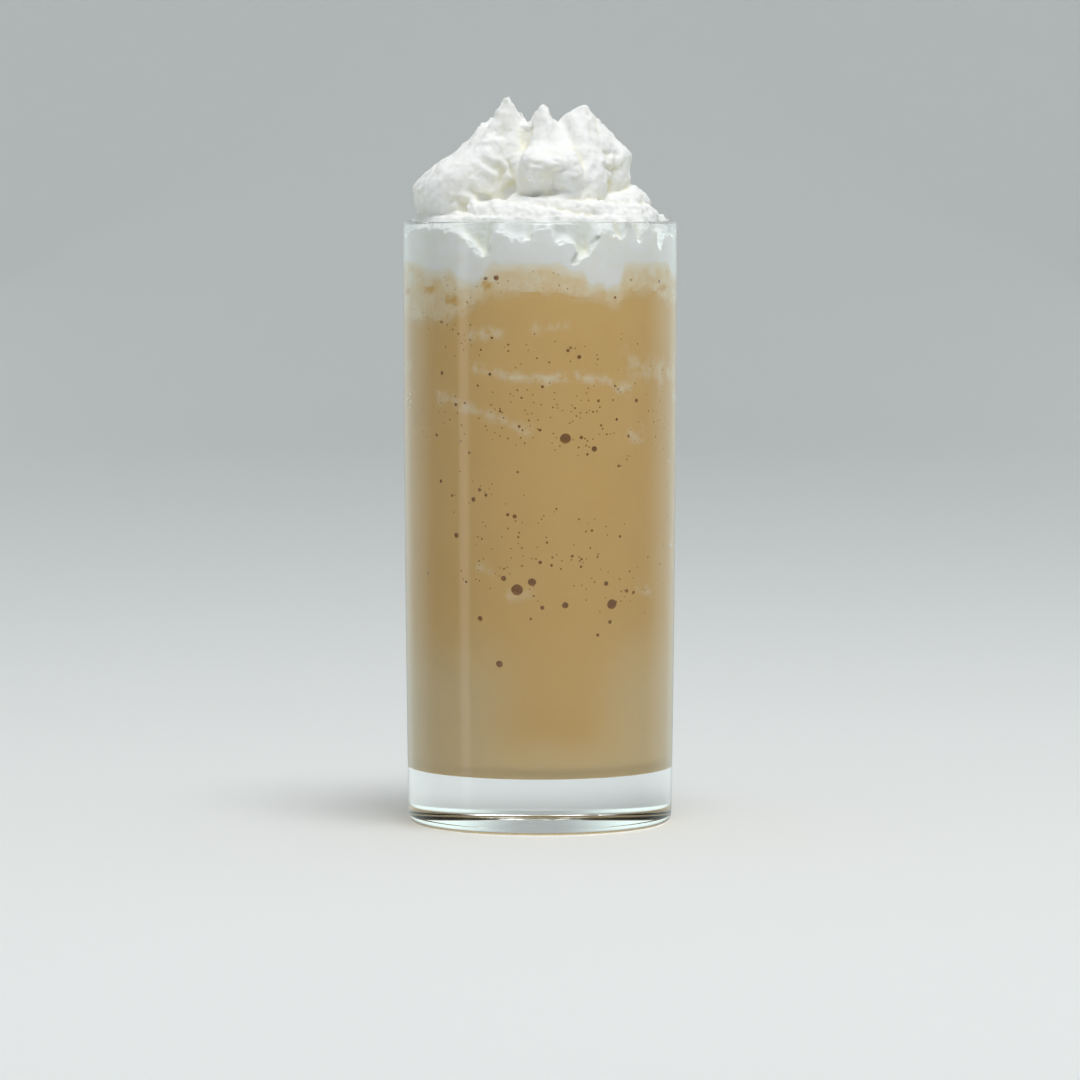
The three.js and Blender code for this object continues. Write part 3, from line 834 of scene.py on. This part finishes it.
def filling_rings(low, high_at, reach, rows):
    """A filling's side and top inside the glass, ring by ring."""
    bearing = bearings(sizes().filling_steps)
    top = high_at(bearing, 1.0) + LAP
    side = [low + (top - low) * share for share in np.linspace(0, 1, rows)]
    return [side_ring(height, 1, reach) for height in side] + [
        side_ring(high_at(bearing, share) + LAP, share, reach) for share in LID_SHARES
    ]


def ellipsoid(bearing, radius, height, half_width, half_height, depth, tilt=0, steps=28):
    """Points and faces of an egg set at a bearing, its depth pointing at the axis."""
    angle = np.radians(np.arange(1, steps // 2) / (steps // 2) * 180)
    ones = np.ones(steps)
    points, faces = ringed_mesh(
        (ring * ones, level * ones) for ring, level in zip(np.sin(angle), -np.cos(angle))
    )
    points[-2:, 2] = (-1, 1)
    points = points * (half_width, depth, half_height)
    lean, turn = math.radians(tilt), math.radians(bearing)
    x = points[:, 0] * math.cos(lean) + points[:, 2] * math.sin(lean)
    z = points[:, 2] * math.cos(lean) - points[:, 0] * math.sin(lean)
    y = points[:, 1]
    turned = np.stack([
        x * math.cos(turn) - y * math.sin(turn), x * math.sin(turn) + y * math.cos(turn), z,
    ], axis=1)
    return turned + polar(bearing, radius, height), faces


def bubble_balls(bubbles):
    """One piece of separate balls, centred on the inside of the glass."""
    points, faces = [], []
    for bearing, height, diameter in bubbles:
        radius = diameter / 2
        ball, sides = ellipsoid(
            bearing, float(inner_radius(height)), height, radius * 1.05, radius, radius,
            steps=BALL_STEPS if diameter > 1 else SMALL_BALL_STEPS,
        )
        first = sum(len(part) for part in points)
        points.append(ball)
        faces += [[first + corner for corner in side] for side in sides]
    return new_piece("bubble_balls", np.vstack(points), faces)


def coffee_fizz(bearing, height):
    """How thickly fine bubbles stand in the coffee's side, from 0 to 1: in clumps, in places."""
    total = np.zeros(np.shape(bearing))
    for middle, level, wide, tall, share in FIZZ:
        across = bearing_between(bearing, middle) / wide
        total += share * np.exp(-(across ** 2) - ((height - level) / tall) ** 2)
    clumps = eased(*CLUMP_FADE, grain(polar(bearing, WALL_RADIUS, height), CLUMP_SIZE))
    return np.clip(total, 0, 1) * (FIZZ_BETWEEN + (1 - FIZZ_BETWEEN) * clumps)


def sink_bubbles(piece, fizz_at, scatters):
    """Cuts scattered fine bubbles into a filling's side."""
    tree = bubble_tree()
    for seed, spacing, density, smallest, largest, roundness in scatters:
        skin = new_object("skin", piece.data.copy())
        bearing, radius, height = where(coordinates(skin.data))
        side = radius > inner_radius(height)
        paint(skin.data, "fizz", fizz_at(bearing, height) * side)
        grow(skin, tree, {
            "Seed": seed,
            "Closest spacing": spacing * MM,
            "Most per square metre": float(density),
            "Smallest radius": smallest * MM,
            "Largest radius": largest * MM,
            "Roundness": roundness,
        })
        combine(piece, skin, "DIFFERENCE")


def new_filling(name, rings, bubbles, fizz_at, scatters):
    """A filling of the glass with its bubbles, and the bearing and height of its vertices."""
    piece = new_piece(name, *ringed_mesh(rings))
    combine(piece, bubble_balls(bubbles), "DIFFERENCE")
    sink_bubbles(piece, fizz_at, scatters)
    bearing, _, height = where(coordinates(piece.data))
    return piece, bearing, height


def paint_bubble_shade(mesh, low, high):
    """Paints how deep in a bubble each vertex is between two heights, from 0 at its rim to 1:
    the share of painted shade that darkens the bubble's inside.
    """
    _, radius, height = where(coordinates(mesh))
    deep = (inner_radius(height) + REACH - radius) / HOLE_DEPTH
    inside = (height > low) & (height < high)
    paint(mesh, "hole", np.clip(deep, 0, 1) * inside)


def streak_strength(bearing, height):
    """How strong the pale foam streaks are at each point, from 0 to 1."""
    total = np.zeros(len(bearing))
    wander = grain(polar(bearing, WALL_RADIUS, height), STREAK_WAVES)
    for course, half_thickness, strength in STREAKS:
        start = course[0][0]
        turned = (bearing - start + 180) % 360 - 180 + start
        nearest = np.full(len(bearing), np.inf)
        for (b0, h0), (b1, h1) in zip(course, course[1:]):
            along = (b1 - b0) * MM_PER_DEGREE
            _, off = beside((turned - b0) * MM_PER_DEGREE, height - h0, along, h1 - h0)
            nearest = np.minimum(nearest, off)
        thick = half_thickness * (1 + STREAK_WANDER * wander)
        clear, gone = (thick * share for share in STREAK_FADE)
        total = np.maximum(total, strength * (1 - eased(clear, gone, nearest)))
    return total


def haze_strength(bearing, height):
    """How strongly fine foam clouds the drink at each point."""
    drop = sum(np.exp(-((bearing_between(bearing, b) / wide) ** 4)) for b, wide in DROPS)
    uneven = 2 * grain(polar(bearing, WALL_RADIUS, height), 9)
    cleared = drop * eased(*DROP_FEET, height + uneven)
    return HAZE * (1 - eased(*HAZE_TOP, height)) * (1 - DROP_CLEARNESS * cleared)


def spot_strength(spots, bearing, height, sideways, upwards, soft):
    """How deep in a spot each point is, from 0 to 1, with the spots' edges pushed about."""
    total = np.zeros(len(bearing))
    for middle, level, wide, tall in spots:
        across = bearing_between(bearing, middle) * MM_PER_DEGREE / wide
        off = np.hypot(across + sideways, (height - level) / tall + upwards)
        total = np.maximum(total, 1 - eased(*soft, off))
    return total


def petal_weight(petal, bearing, share):
    """How strongly a petal stands out at a bearing and a share of its height, from 0 to 1."""
    foot, lean, half_width, taper, fullness, _ = petal
    width = half_width * (1 + (taper - 1) * share)
    across = bearing_between(bearing, foot + lean * share) / width
    return np.where(across < 1, 1 - across ** fullness, 0)


def all_round(place, bearing):
    """A radius and a height, repeated at each bearing."""
    return np.repeat(np.array(place, float)[:, None], len(bearing), axis=1)


def crown_levels(bearing):
    """The crown's profile at each bearing as seven levels of radius and height."""
    levels = []
    for level, valley in enumerate(VALLEY):
        place = all_round(valley, bearing)
        for petal in PETALS:
            weight = petal_weight(petal, bearing, level / (len(VALLEY) - 1))
            place = place + weight * (np.array(petal[-1][level]) - valley)[:, None]
        levels.append(place)
    for middle, half_width, rise in TEETH:
        across = bearing_between(bearing, middle) / half_width
        levels[-1][1] += rise * np.clip(1 - across ** TOOTH_FULLNESS, 0, 1)
    base, middle = (all_round(place, bearing) for place in (CROWN_BASE, HOLLOW_MIDDLE))
    return np.array([base, *levels, middle])


def through(levels, place):
    """A smooth curve through a list of levels, at a place from 0 to 1."""
    last = len(levels) - 1
    step = min(int(place * last), last - 1)
    t = place * last - step
    before, start = levels[max(step - 1, 0)], levels[step]
    end, after = levels[step + 1], levels[min(step + 2, last)]
    v0, v1 = (end - before) / 2, (after - start) / 2
    cubic = (2 * start - 2 * end + v0 + v1) * t ** 3
    return cubic + (3 * end - 3 * start - 2 * v0 - v1) * t ** 2 + v0 * t + start


def crown_piece():
    """The crown: petals with their piped ridges and torn crest."""
    looks = bpy.context.scene.iced_coffee_cream
    rows = looks.crown_rows
    bearing = bearings(looks.crown_steps)
    levels = crown_levels(bearing)
    profiles = np.array([through(levels, j / rows) for j in range(rows + 1)])
    radius, height = profiles[:, 0], profiles[:, 1]
    points = polar(bearing, radius, height)
    swell = layered_grain(points, CROWN_SWELL)
    climb = np.linspace(0, 1, rows + 1)[:, None]
    lean = bearing + RIDGE_SWAY * np.sin(climb * 4 + bearing / 40) + RIDGE_STRAY * grain(points, 9)
    ridges = np.abs(np.sin(np.radians(lean * looks.ridges / 2)))
    faces_out = eased(*RIDGE_FOOT, climb) * (1 - eased(*RIDGE_HEAD, climb))
    radius = radius + swell - looks.ridge_depth / MM * (1 - ridges) ** 2 * faces_out
    crest = np.exp(-(((climb - CREST) / CREST_SPREAD) ** 2))
    torn = layered_grain(points * (1, 1, 0.3), CREST_TEAR)
    height = height + 0.5 * swell + crest * torn
    return new_piece("crown", *ringed_mesh(zip(radius, height)))


def rope_piece():
    """The first turn of cream: a fluted rope laid round into a closed ring."""
    lengths, steps = ROPE_FACETS
    bearing = bearings(lengths)
    spacing = 360 / len(ROPE_COURSE)
    course = np.array(ROPE_COURSE)
    before = (bearing // spacing).astype(int)
    within = eased(0, 1, bearing / spacing - before)[:, None]
    spine = course[before] * (1 - within) + course[(before + 1) % len(course)] * within
    angle = -np.arange(steps) / steps * 2 * np.pi
    turned = angle[None, :] + np.radians(bearing)[:, None]
    crease = 1 - np.abs(np.sin(turned * ROPE_FLUTES / 2))
    reach = spine[:, 2:3] - FLUTE_DEPTH * crease ** 2
    radius = spine[:, 0:1] + reach * np.cos(angle)
    height = spine[:, 1:2] + reach * np.sin(angle)
    swell = layered_grain(polar(bearing[:, None], radius, height), ROPE_SWELL)
    radius = radius + swell * np.cos(angle)
    height = height + swell * np.sin(angle)
    points = polar(bearing[:, None], radius, height).reshape(-1, 3)
    i, j = np.meshgrid(np.arange(lengths), np.arange(steps), indexing="ij")
    on, over = (i + 1) % lengths, (j + 1) % steps
    corners = [i * steps + j, on * steps + j, on * steps + over, i * steps + over]
    faces = np.stack([corner.ravel() for corner in corners], axis=1)[:, ::-1].tolist()
    return new_piece("rope", points, faces)


def patch_top(bearing):
    """The height up to which the cream is pressed against the glass at a bearing."""
    height = np.full(np.shape(bearing), float(PATCH_FOOT))
    for middle, half_width, top in PATCHES:
        across = bearing_between(bearing, middle) / half_width
        rise = (top - PATCH_FOOT) * (1 - np.clip(across, 0, 1) ** PATCH_FULLNESS)
        height = np.maximum(height, PATCH_FOOT + rise)
    return height


def plug_piece():
    """The plug of cream in the mouth of the glass: pressed to it in patches, and clear above."""
    bearing = bearings(PLUG_STEPS)
    rings = []
    for share in (*LID_SHARES[::-1], 1.0):
        nearby = [froth_top(bearing + turn, share) for turn in NEARBY]
        low = np.min(nearby, axis=0) - PLUG_LAP
        rings.append(side_ring(low, share, 2 * REACH))
    edge = patch_top(bearing)
    edge = edge + layered_grain(polar(bearing, WALL_RADIUS, edge), PATCH_RAGGED)
    for share in PLUG_SIDE:
        rings.append(side_ring(low + (edge - low) * share, 1, 2 * REACH))
    rings += [side_ring(edge + rise, 1, -recess) for rise, recess in PATCH_EDGE]
    return new_piece("cream_swirl", *ringed_mesh(rings + HEART))


def crease_depth(points):
    """How deep the creases are at each point, and less than 0 on a ridge."""
    bearing, radius, height = where(points)
    total = np.zeros(len(points))
    for b0, h0, b1, h1, half_width, depth in CREASES:
        middle = (b0 + b1) / 2
        near = (bearing_between(bearing, middle) < CREASE_REACH) & (radius > CREASE_INSIDE)
        around = math.radians(1) * radius[near]
        turned = (bearing[near] - b0 + 180) % 360 - 180
        share, off = beside(turned * around, height[near] - h0, (b1 - b0) * around, h1 - h0)
        fade = np.sin(np.pi * (CREASE_END + (1 - 2 * CREASE_END) * share))
        total[near] += depth * np.exp(-((off / half_width) ** 2)) * fade
    return total


def neighbours(mesh):
    """The two ends of every edge, and how many edges meet at each vertex."""
    ends = np.empty(len(mesh.edges) * 2, dtype=np.int32)
    mesh.edges.foreach_get("vertices", ends)
    ends = ends.reshape(-1, 2)
    return ends, np.bincount(ends.ravel(), minlength=len(mesh.vertices))


def spread_values(values, ends, meeting):
    """Each vertex's row of values averaged over its neighbours."""
    total = np.zeros(values.shape)
    np.add.at(total, ends[:, 0], values[ends[:, 1]])
    np.add.at(total, ends[:, 1], values[ends[:, 0]])
    return total / meeting[:, None]


def bulge(mesh, ends, meeting, rounds):
    """How far each vertex stands out from its neighbourhood, in millimetres."""
    points = coordinates(mesh)
    smooth = points.copy()
    for _ in range(rounds):
        smooth = spread_values(smooth, ends, meeting)
    return np.einsum("ij,ij->i", points - smooth, vertex_rows(mesh, "normal"))


def torn_relief(points, ridge):
    """How far the cream's torn ridges, fine grain and creases move each point outwards.

    A number added to the points only shifts the noise, so that no two layers line up.
    """
    tear = 0.5 - 1.6 * np.abs(grain(points, 2.2)) - 1.1 * np.abs(grain(points + 50, 1.2))
    fine = 0.16 * grain(points + 90, 1.3) + 0.1 * grain(points + 20, 0.7)
    low = (points[:, 2] > RIM_HEIGHT + 1) * (1 - eased(*ROUGH_TOP, points[:, 2]))
    fine += low * (0.5 * np.abs(grain(points + 35, 1.9)) + 0.25 * grain(points + 65, 1))
    wander = np.stack([grain(points + shift, 3) for shift in (7, 37, 67)], axis=1)
    return fine + 0.9 * ridge * tear - crease_depth(points + 0.6 * wander)


def roughen_cream(piece):
    """Smooths the joined cream a little, then tears its ridges and presses it to the glass."""
    mesh = piece.data
    ends, meeting = neighbours(mesh)
    points = coordinates(mesh)
    for _ in range(2):
        points = 0.5 * points + 0.5 * spread_values(points, ends, meeting)
    set_coordinates(mesh, points)
    ridge = eased(*RIDGE_BULGE, bulge(mesh, ends, meeting, 10))
    points = points + vertex_rows(mesh, "normal") * torn_relief(points, ridge)[:, None]
    points += 0.6 * ridge[:, None] * (spread_values(points, ends, meeting) - points)
    bearing, radius, height = where(points)
    wall = inner_radius(height)
    inside = height < RIM_HEIGHT + ABOVE_RIM
    against = (radius > wall - CLING) & inside
    clear = (radius > wall - CLEARANCE) & inside & ~against
    target = np.where(against, wall + REACH, np.where(clear, wall - CLEARANCE, radius))
    points[:, :2] *= (target / np.maximum(radius, 1e-6))[:, None]
    set_coordinates(mesh, points)
    paint(mesh, "pressed", against)
    over = points[:, 2] - froth_top(bearing) + 0.7 * grain(points, 2.5)
    paint(mesh, "frothy", against * (1 - eased(-0.8, 1.1, over)))
    # Painted shade: hollows and faces that turn down are marked for a warmer, darker colour
    out = bulge(mesh, ends, meeting, 30)
    facing_down = np.clip(-vertex_rows(mesh, "normal")[:, 2] + 0.35, 0, 1)
    paint(mesh, "fold", np.clip(eased(*FOLD_BULGE, out) * 0.6 + facing_down * 0.6, 0, 1))


def paper_sweep():
    """The floor and background: a round sheet that bends up into a wall."""
    centre = SWEEP_RADIUS - SWEEP_BEND
    piece = turned_piece("studio_floor", [
        *[(radius, -FLOOR_DROP) for radius in (0, 400, 1200, centre)],
        *arc((centre, SWEEP_BEND), SWEEP_BEND + FLOOR_DROP, -80, 0, 12),
        (SWEEP_RADIUS, SWEEP_HEIGHT),
    ], SWEEP_STEPS, studio_paper())
    piece.data.flip_normals()
    piece.data.shade_smooth()
    piece.visible_glossy = False
    return piece


def new_softbox(name, width, height, tint):
    """A softbox that fades towards its edges."""
    light = bpy.data.lights.new(name, "AREA")
    light.use_nodes = True
    tree = light.node_tree
    tree.nodes.clear()
    across = add(tree, "ShaderNodeNewGeometry").outputs["Parametric"]
    split = add(tree, "ShaderNodeSeparateXYZ", {0: across})
    fades = []
    for side in split.outputs[:2]:
        off = maths(tree, "ABSOLUTE", maths(tree, "SUBTRACT", side, 0.5))
        fades.append(ranged(tree, off, *SOFTBOX_FADE, curve="SMOOTHSTEP"))
    glow = add(tree, "ShaderNodeEmission", {
        "Color": linear(tint), "Strength": maths(tree, "MULTIPLY", *fades),
    })
    add(tree, "ShaderNodeOutputLight", {"Surface": glow.outputs[0]})
    light.shape = "RECTANGLE"
    light.size = width
    light.size_y = height
    lamp = new_object(name, light)
    lamp.visible_camera = False
    return lamp


def new_sky(strength):
    """Even light from all round."""
    world = bpy.data.worlds.new("studio_light")
    world.use_nodes = True
    world.node_tree.nodes.clear()
    sky = add(world.node_tree, "ShaderNodeBackground", {
        "Color": linear(SKY_COLOUR), "Strength": strength,
    })
    add(world.node_tree, "ShaderNodeOutputWorld", {"Surface": sky.outputs[0]})
    return world


def aim(thing, place, height):
    """Puts a light or a camera at a place and points it at a height on the axis."""
    thing.location = place
    line = Vector((0, 0, height)) - thing.location
    thing.rotation_euler = line.to_track_quat("-Z", "Y").to_euler()


def length(name, description, value):
    """A setting in metres, given here in millimetres."""
    return FloatProperty(name=name, description=description, unit="LENGTH", default=value * MM)


def count(name, description, value):
    """A setting that is a whole number."""
    return IntProperty(name=name, description=description, default=value)


def colour(name, description, value):
    """A setting that is a colour."""
    return FloatVectorProperty(
        name=name, description=description, subtype="COLOR", size=4, default=linear(value),
    )


def power(name, description, value):
    """A setting that is a light's power."""
    return FloatProperty(name=name, description=description, subtype="POWER", default=value)


class IcedCoffeeGlass(bpy.types.PropertyGroup):
    """Sizes and colour of the glass."""

    foot_radius: length("Foot radius", "Half the width of the foot", 31.1)
    wall: length("Wall", "Thickness of the side", 2)
    floor_height: length("Floor height", "Height of the clear floor", 13)
    floor_corner: length("Floor corner", "Rounding inside, where floor meets side", 3)
    heel: length("Heel", "Rounding outside, at the foot", 2)
    dimple_radius: length("Dimple radius", "Half the width of the hollow under the foot", 25)
    dimple_depth: length("Dimple depth", "Depth of the hollow under the foot", 1.2)
    steps: count("Steps", "Facets round the glass", 192)
    filling_steps: count("Filling steps", "Facets round the drink and the froth", 256)
    tint: colour("Tint", "Colour of the glass", "#f7fbfb")


class IcedCoffeeDrink(bpy.types.PropertyGroup):
    """Colours of the coffee and the froth."""

    coffee: colour("Coffee", "Main colour of the drink", "#e2bf7f")
    deep_coffee: colour("Deep coffee", "Darker clouds in the drink", "#dab26d")
    foam: colour("Foam", "Pale streaks in the drink", "#ece4cc")
    haze: colour("Haze", "Fine foam that clouds the drink low down", "#eef6ea")
    # Painted shade: this dark brown inside the drink's bubbles stands in for the shade in the hollow
    bubble: colour("Bubble", "Inside of an air bubble in the drink", "#b1760c")
    froth: colour("Froth", "Main colour of the froth", "#e8ce9c")
    pale_froth: colour("Pale froth", "Paler clouds in the froth", "#efe2c6")
    stain: colour("Stain", "Coffee carried into the froth", "#dcb46e")
    creamed_froth: colour("Creamed froth", "Froth where it meets the cream", "#f2ebd9")
    # Painted shade: this brown inside the froth's bubbles stands in for the shade in the hollow
    shaded_froth_bubble: colour("Froth bubble", "Inside of an air bubble in the froth", "#b86f22")


class IcedCoffeeCream(bpy.types.PropertyGroup):
    """Fineness and colours of the whipped cream."""

    crown_steps: count("Crown steps", "Facets round", 560)
    crown_rows: count("Crown rows", "Facets up", 170)
    ridges: count("Ridges", "Piped ridges round the crown", 46)
    ridge_depth: length("Ridge depth", "Depth of the creases between piped ridges", 0.55)
    grain: length("Grain", "Size of the cream's finest facets", 0.42)
    cream: colour("Cream", "Colour of the cream", "#f8f8f5")
    # Painted shade in the hollows and under the overhangs
    fold: colour("Fold", "Colour deep in the folds", "#eeead0")
    pressed: colour("Pressed", "Duller clouds where it is pressed to the glass", "#fafbfb")
    frothy: colour("Frothy", "Cream where it meets the froth", "#f2e8d2")


class IcedCoffeeStudio(bpy.types.PropertyGroup):
    """The studio's floor, light and camera."""

    paper: colour("Paper", "Colour of the floor and background", "#e9ebea")
    sky: FloatProperty(name="Sky", description="Strength of the light all round", default=0.47)
    overhead: power("Overhead", "Power of the softbox above", 28.5)
    side: power("Side", "Power of each softbox at the back", 7.5)
    strip: power("Strip", "Power of the narrow softbox at the left", 1.0)
    table: power("Table", "Power of the light table under the glass", 0.015)
    camera_distance: length("Camera distance", "From the axis of the glass", 1350)
    camera_height: length("Camera height", "Above the floor", 161)
    aim_height: length("Aim height", "Where on the axis the camera points", 66.65)
    lens: FloatProperty(name="Lens", description="Focal length in millimetres", default=191.0)


class ICED_COFFEE_OT_glass(bpy.types.Operator):
    """Makes the glass"""

    bl_idname = "iced_coffee.make_glass"
    bl_label = "Glass"

    def execute(self, context):
        material = soda_lime_glass()
        piece = turned_piece("tumbler", glass_profile(), sizes().steps, material)
        finish(piece, "glass", material)
        piece.visible_shadow = False
        return {"FINISHED"}


class ICED_COFFEE_OT_coffee(bpy.types.Operator):
    """Makes the blended coffee with its bubbles and foam streaks"""

    bl_idname = "iced_coffee.make_coffee"
    bl_label = "Coffee"

    def execute(self, context):
        floor = sizes().floor_height / MM - REACH
        corner = sizes().floor_corner / MM
        low = floor + corner
        inside = float(inner_radius(low)) + REACH
        rings = [(share * (inside - corner), floor) for share in (0.5, 1.0)]
        rings += arc((inside - corner, low), corner, -75, -15, 5)
        rings += filling_rings(low, coffee_top, REACH, COFFEE_ROWS)
        piece, bearing, height = new_filling(
            "milky_coffee", rings, BUBBLES, coffee_fizz, COFFEE_SCATTERS,
        )
        mesh = piece.data
        top = coffee_top(bearing)
        near_froth = 0.4 * (1 - eased(0, 2.2, top - height))
        paint_bubble_shade(mesh, low + 1, top - 0.3)
        paint(mesh, "foam", np.maximum(streak_strength(bearing, height), near_froth))
        paint(mesh, "haze", haze_strength(bearing, height))
        finish(piece, "iced_coffee", blended_coffee(), sharp=38)
        return {"FINISHED"}


class ICED_COFFEE_OT_froth(bpy.types.Operator):
    """Makes the froth between the coffee and the cream"""

    bl_idname = "iced_coffee.make_froth"
    bl_label = "Froth"

    def execute(self, context):
        bearing = bearings(sizes().filling_steps)
        rings = [
            side_ring(coffee_top(bearing, share), share, FROTH_REACH)
            for share in LID_SHARES[::-1]
        ]
        rings += filling_rings(coffee_top(bearing), froth_top, FROTH_REACH, FROTH_ROWS)
        piece, bearing, height = new_filling(
            "foam_layer", rings, FROTH_BUBBLES, lambda *place: FROTH_FIZZ, FROTH_SCATTERS,
        )
        mesh = piece.data
        points = coordinates(mesh)
        low, high = coffee_top(bearing), froth_top(bearing)
        warp = 0.6 * grain(points, 3)
        ragged = [grain(points + shift, 1.6) for shift in (11, 43)]
        foot = 0.3 * (1 - eased(0.1, 1.6, height - low + warp))
        stains = spot_strength(
            STAINS, bearing, height, 0.7 * ragged[0], ragged[1], soft=(0.3, 1.6),
        )
        top = 1 - eased(-0.2, 2.2, high - height + 1.8 * warp)
        smears = spot_strength(SMEARS, bearing, height, 0.4 * ragged[0], 0, soft=(0.2, 1.5))
        paint_bubble_shade(mesh, low + 0.4, high - 0.4)
        paint(mesh, "stain", np.maximum(foot, 0.8 * stains))
        paint(mesh, "cream", np.maximum(top, 0.9 * smears))
        finish(piece, "froth", coffee_froth(), sharp=38)
        return {"FINISHED"}


class ICED_COFFEE_OT_cream(bpy.types.Operator):
    """Makes the whipped cream"""

    bl_idname = "iced_coffee.make_cream"
    bl_label = "Whipped cream"

    def execute(self, context):
        piece = plug_piece()
        combine(piece, crown_piece(), "UNION")
        combine(piece, rope_piece(), "UNION")
        for bearing, height, *shape in GROOVES:
            egg = ellipsoid(bearing, float(inner_radius(height)), height, *shape)
            combine(piece, new_piece("groove", *egg), "DIFFERENCE")
        for hollow in HOLLOWS:
            combine(piece, new_piece("hollow", *ellipsoid(*hollow)), "DIFFERENCE")
        remesh = piece.modifiers.new("grain", "REMESH")
        remesh.mode = "VOXEL"
        remesh.voxel_size = context.scene.iced_coffee_cream.grain
        settle(piece)
        roughen_cream(piece)
        finish(piece, "whipped_cream", whipped_cream())
        return {"FINISHED"}


class ICED_COFFEE_OT_studio(bpy.types.Operator):
    """Makes the floor, the light and the camera"""

    bl_idname = "iced_coffee.make_studio"
    bl_label = "Studio"

    def execute(self, context):
        studio = context.scene.iced_coffee_studio
        paper_sweep()
        for name, place, width, height, setting, tint in SOFTBOXES:
            lamp = new_softbox(name, width, height, tint)
            lamp.data.energy = getattr(studio, setting)
            aim(lamp, place, GLASS_HIGH.z / 2)
        context.scene.world = new_sky(studio.sky)
        context.scene.view_settings.view_transform = "Standard"
        camera = new_object("camera", bpy.data.cameras.new("camera"))
        camera.data.lens = studio.lens
        camera.data.clip_start = 0.05
        place = (0, -studio.camera_distance, studio.camera_height)
        aim(camera, place, studio.aim_height)
        context.scene.camera = camera
        return {"FINISHED"}


class ICED_COFFEE_PT_panel(bpy.types.Panel):
    """Lists the pieces of the drink"""

    bl_label = "Iced coffee"
    bl_space_type = "VIEW_3D"
    bl_region_type = "UI"
    bl_category = "Iced coffee"

    def draw(self, context):
        for maker in MAKERS:
            self.layout.operator(maker.bl_idname)


MAKERS = [
    ICED_COFFEE_OT_studio,
    ICED_COFFEE_OT_glass,
    ICED_COFFEE_OT_coffee,
    ICED_COFFEE_OT_froth,
    ICED_COFFEE_OT_cream,
]
GROUPS = {
    "iced_coffee_glass": IcedCoffeeGlass,
    "iced_coffee_drink": IcedCoffeeDrink,
    "iced_coffee_cream": IcedCoffeeCream,
    "iced_coffee_studio": IcedCoffeeStudio,
}


def register():
    """Registers the settings, the makers and the panel."""
    for name, group in GROUPS.items():
        bpy.utils.register_class(group)
        setattr(bpy.types.Scene, name, PointerProperty(type=group))
    for kind in [*MAKERS, ICED_COFFEE_PT_panel]:
        bpy.utils.register_class(kind)


def unregister():
    """Takes back what register did."""
    for kind in reversed([*MAKERS, ICED_COFFEE_PT_panel]):
        bpy.utils.unregister_class(kind)
    for name, group in GROUPS.items():
        delattr(bpy.types.Scene, name)
        bpy.utils.unregister_class(group)


def main():
    """Makes every piece in order."""
    register()
    bpy.ops.iced_coffee.make_studio()
    bpy.ops.iced_coffee.make_glass()
    bpy.ops.iced_coffee.make_coffee()
    bpy.ops.iced_coffee.make_froth()
    bpy.ops.iced_coffee.make_cream()


if __name__ == "__main__":
    main()
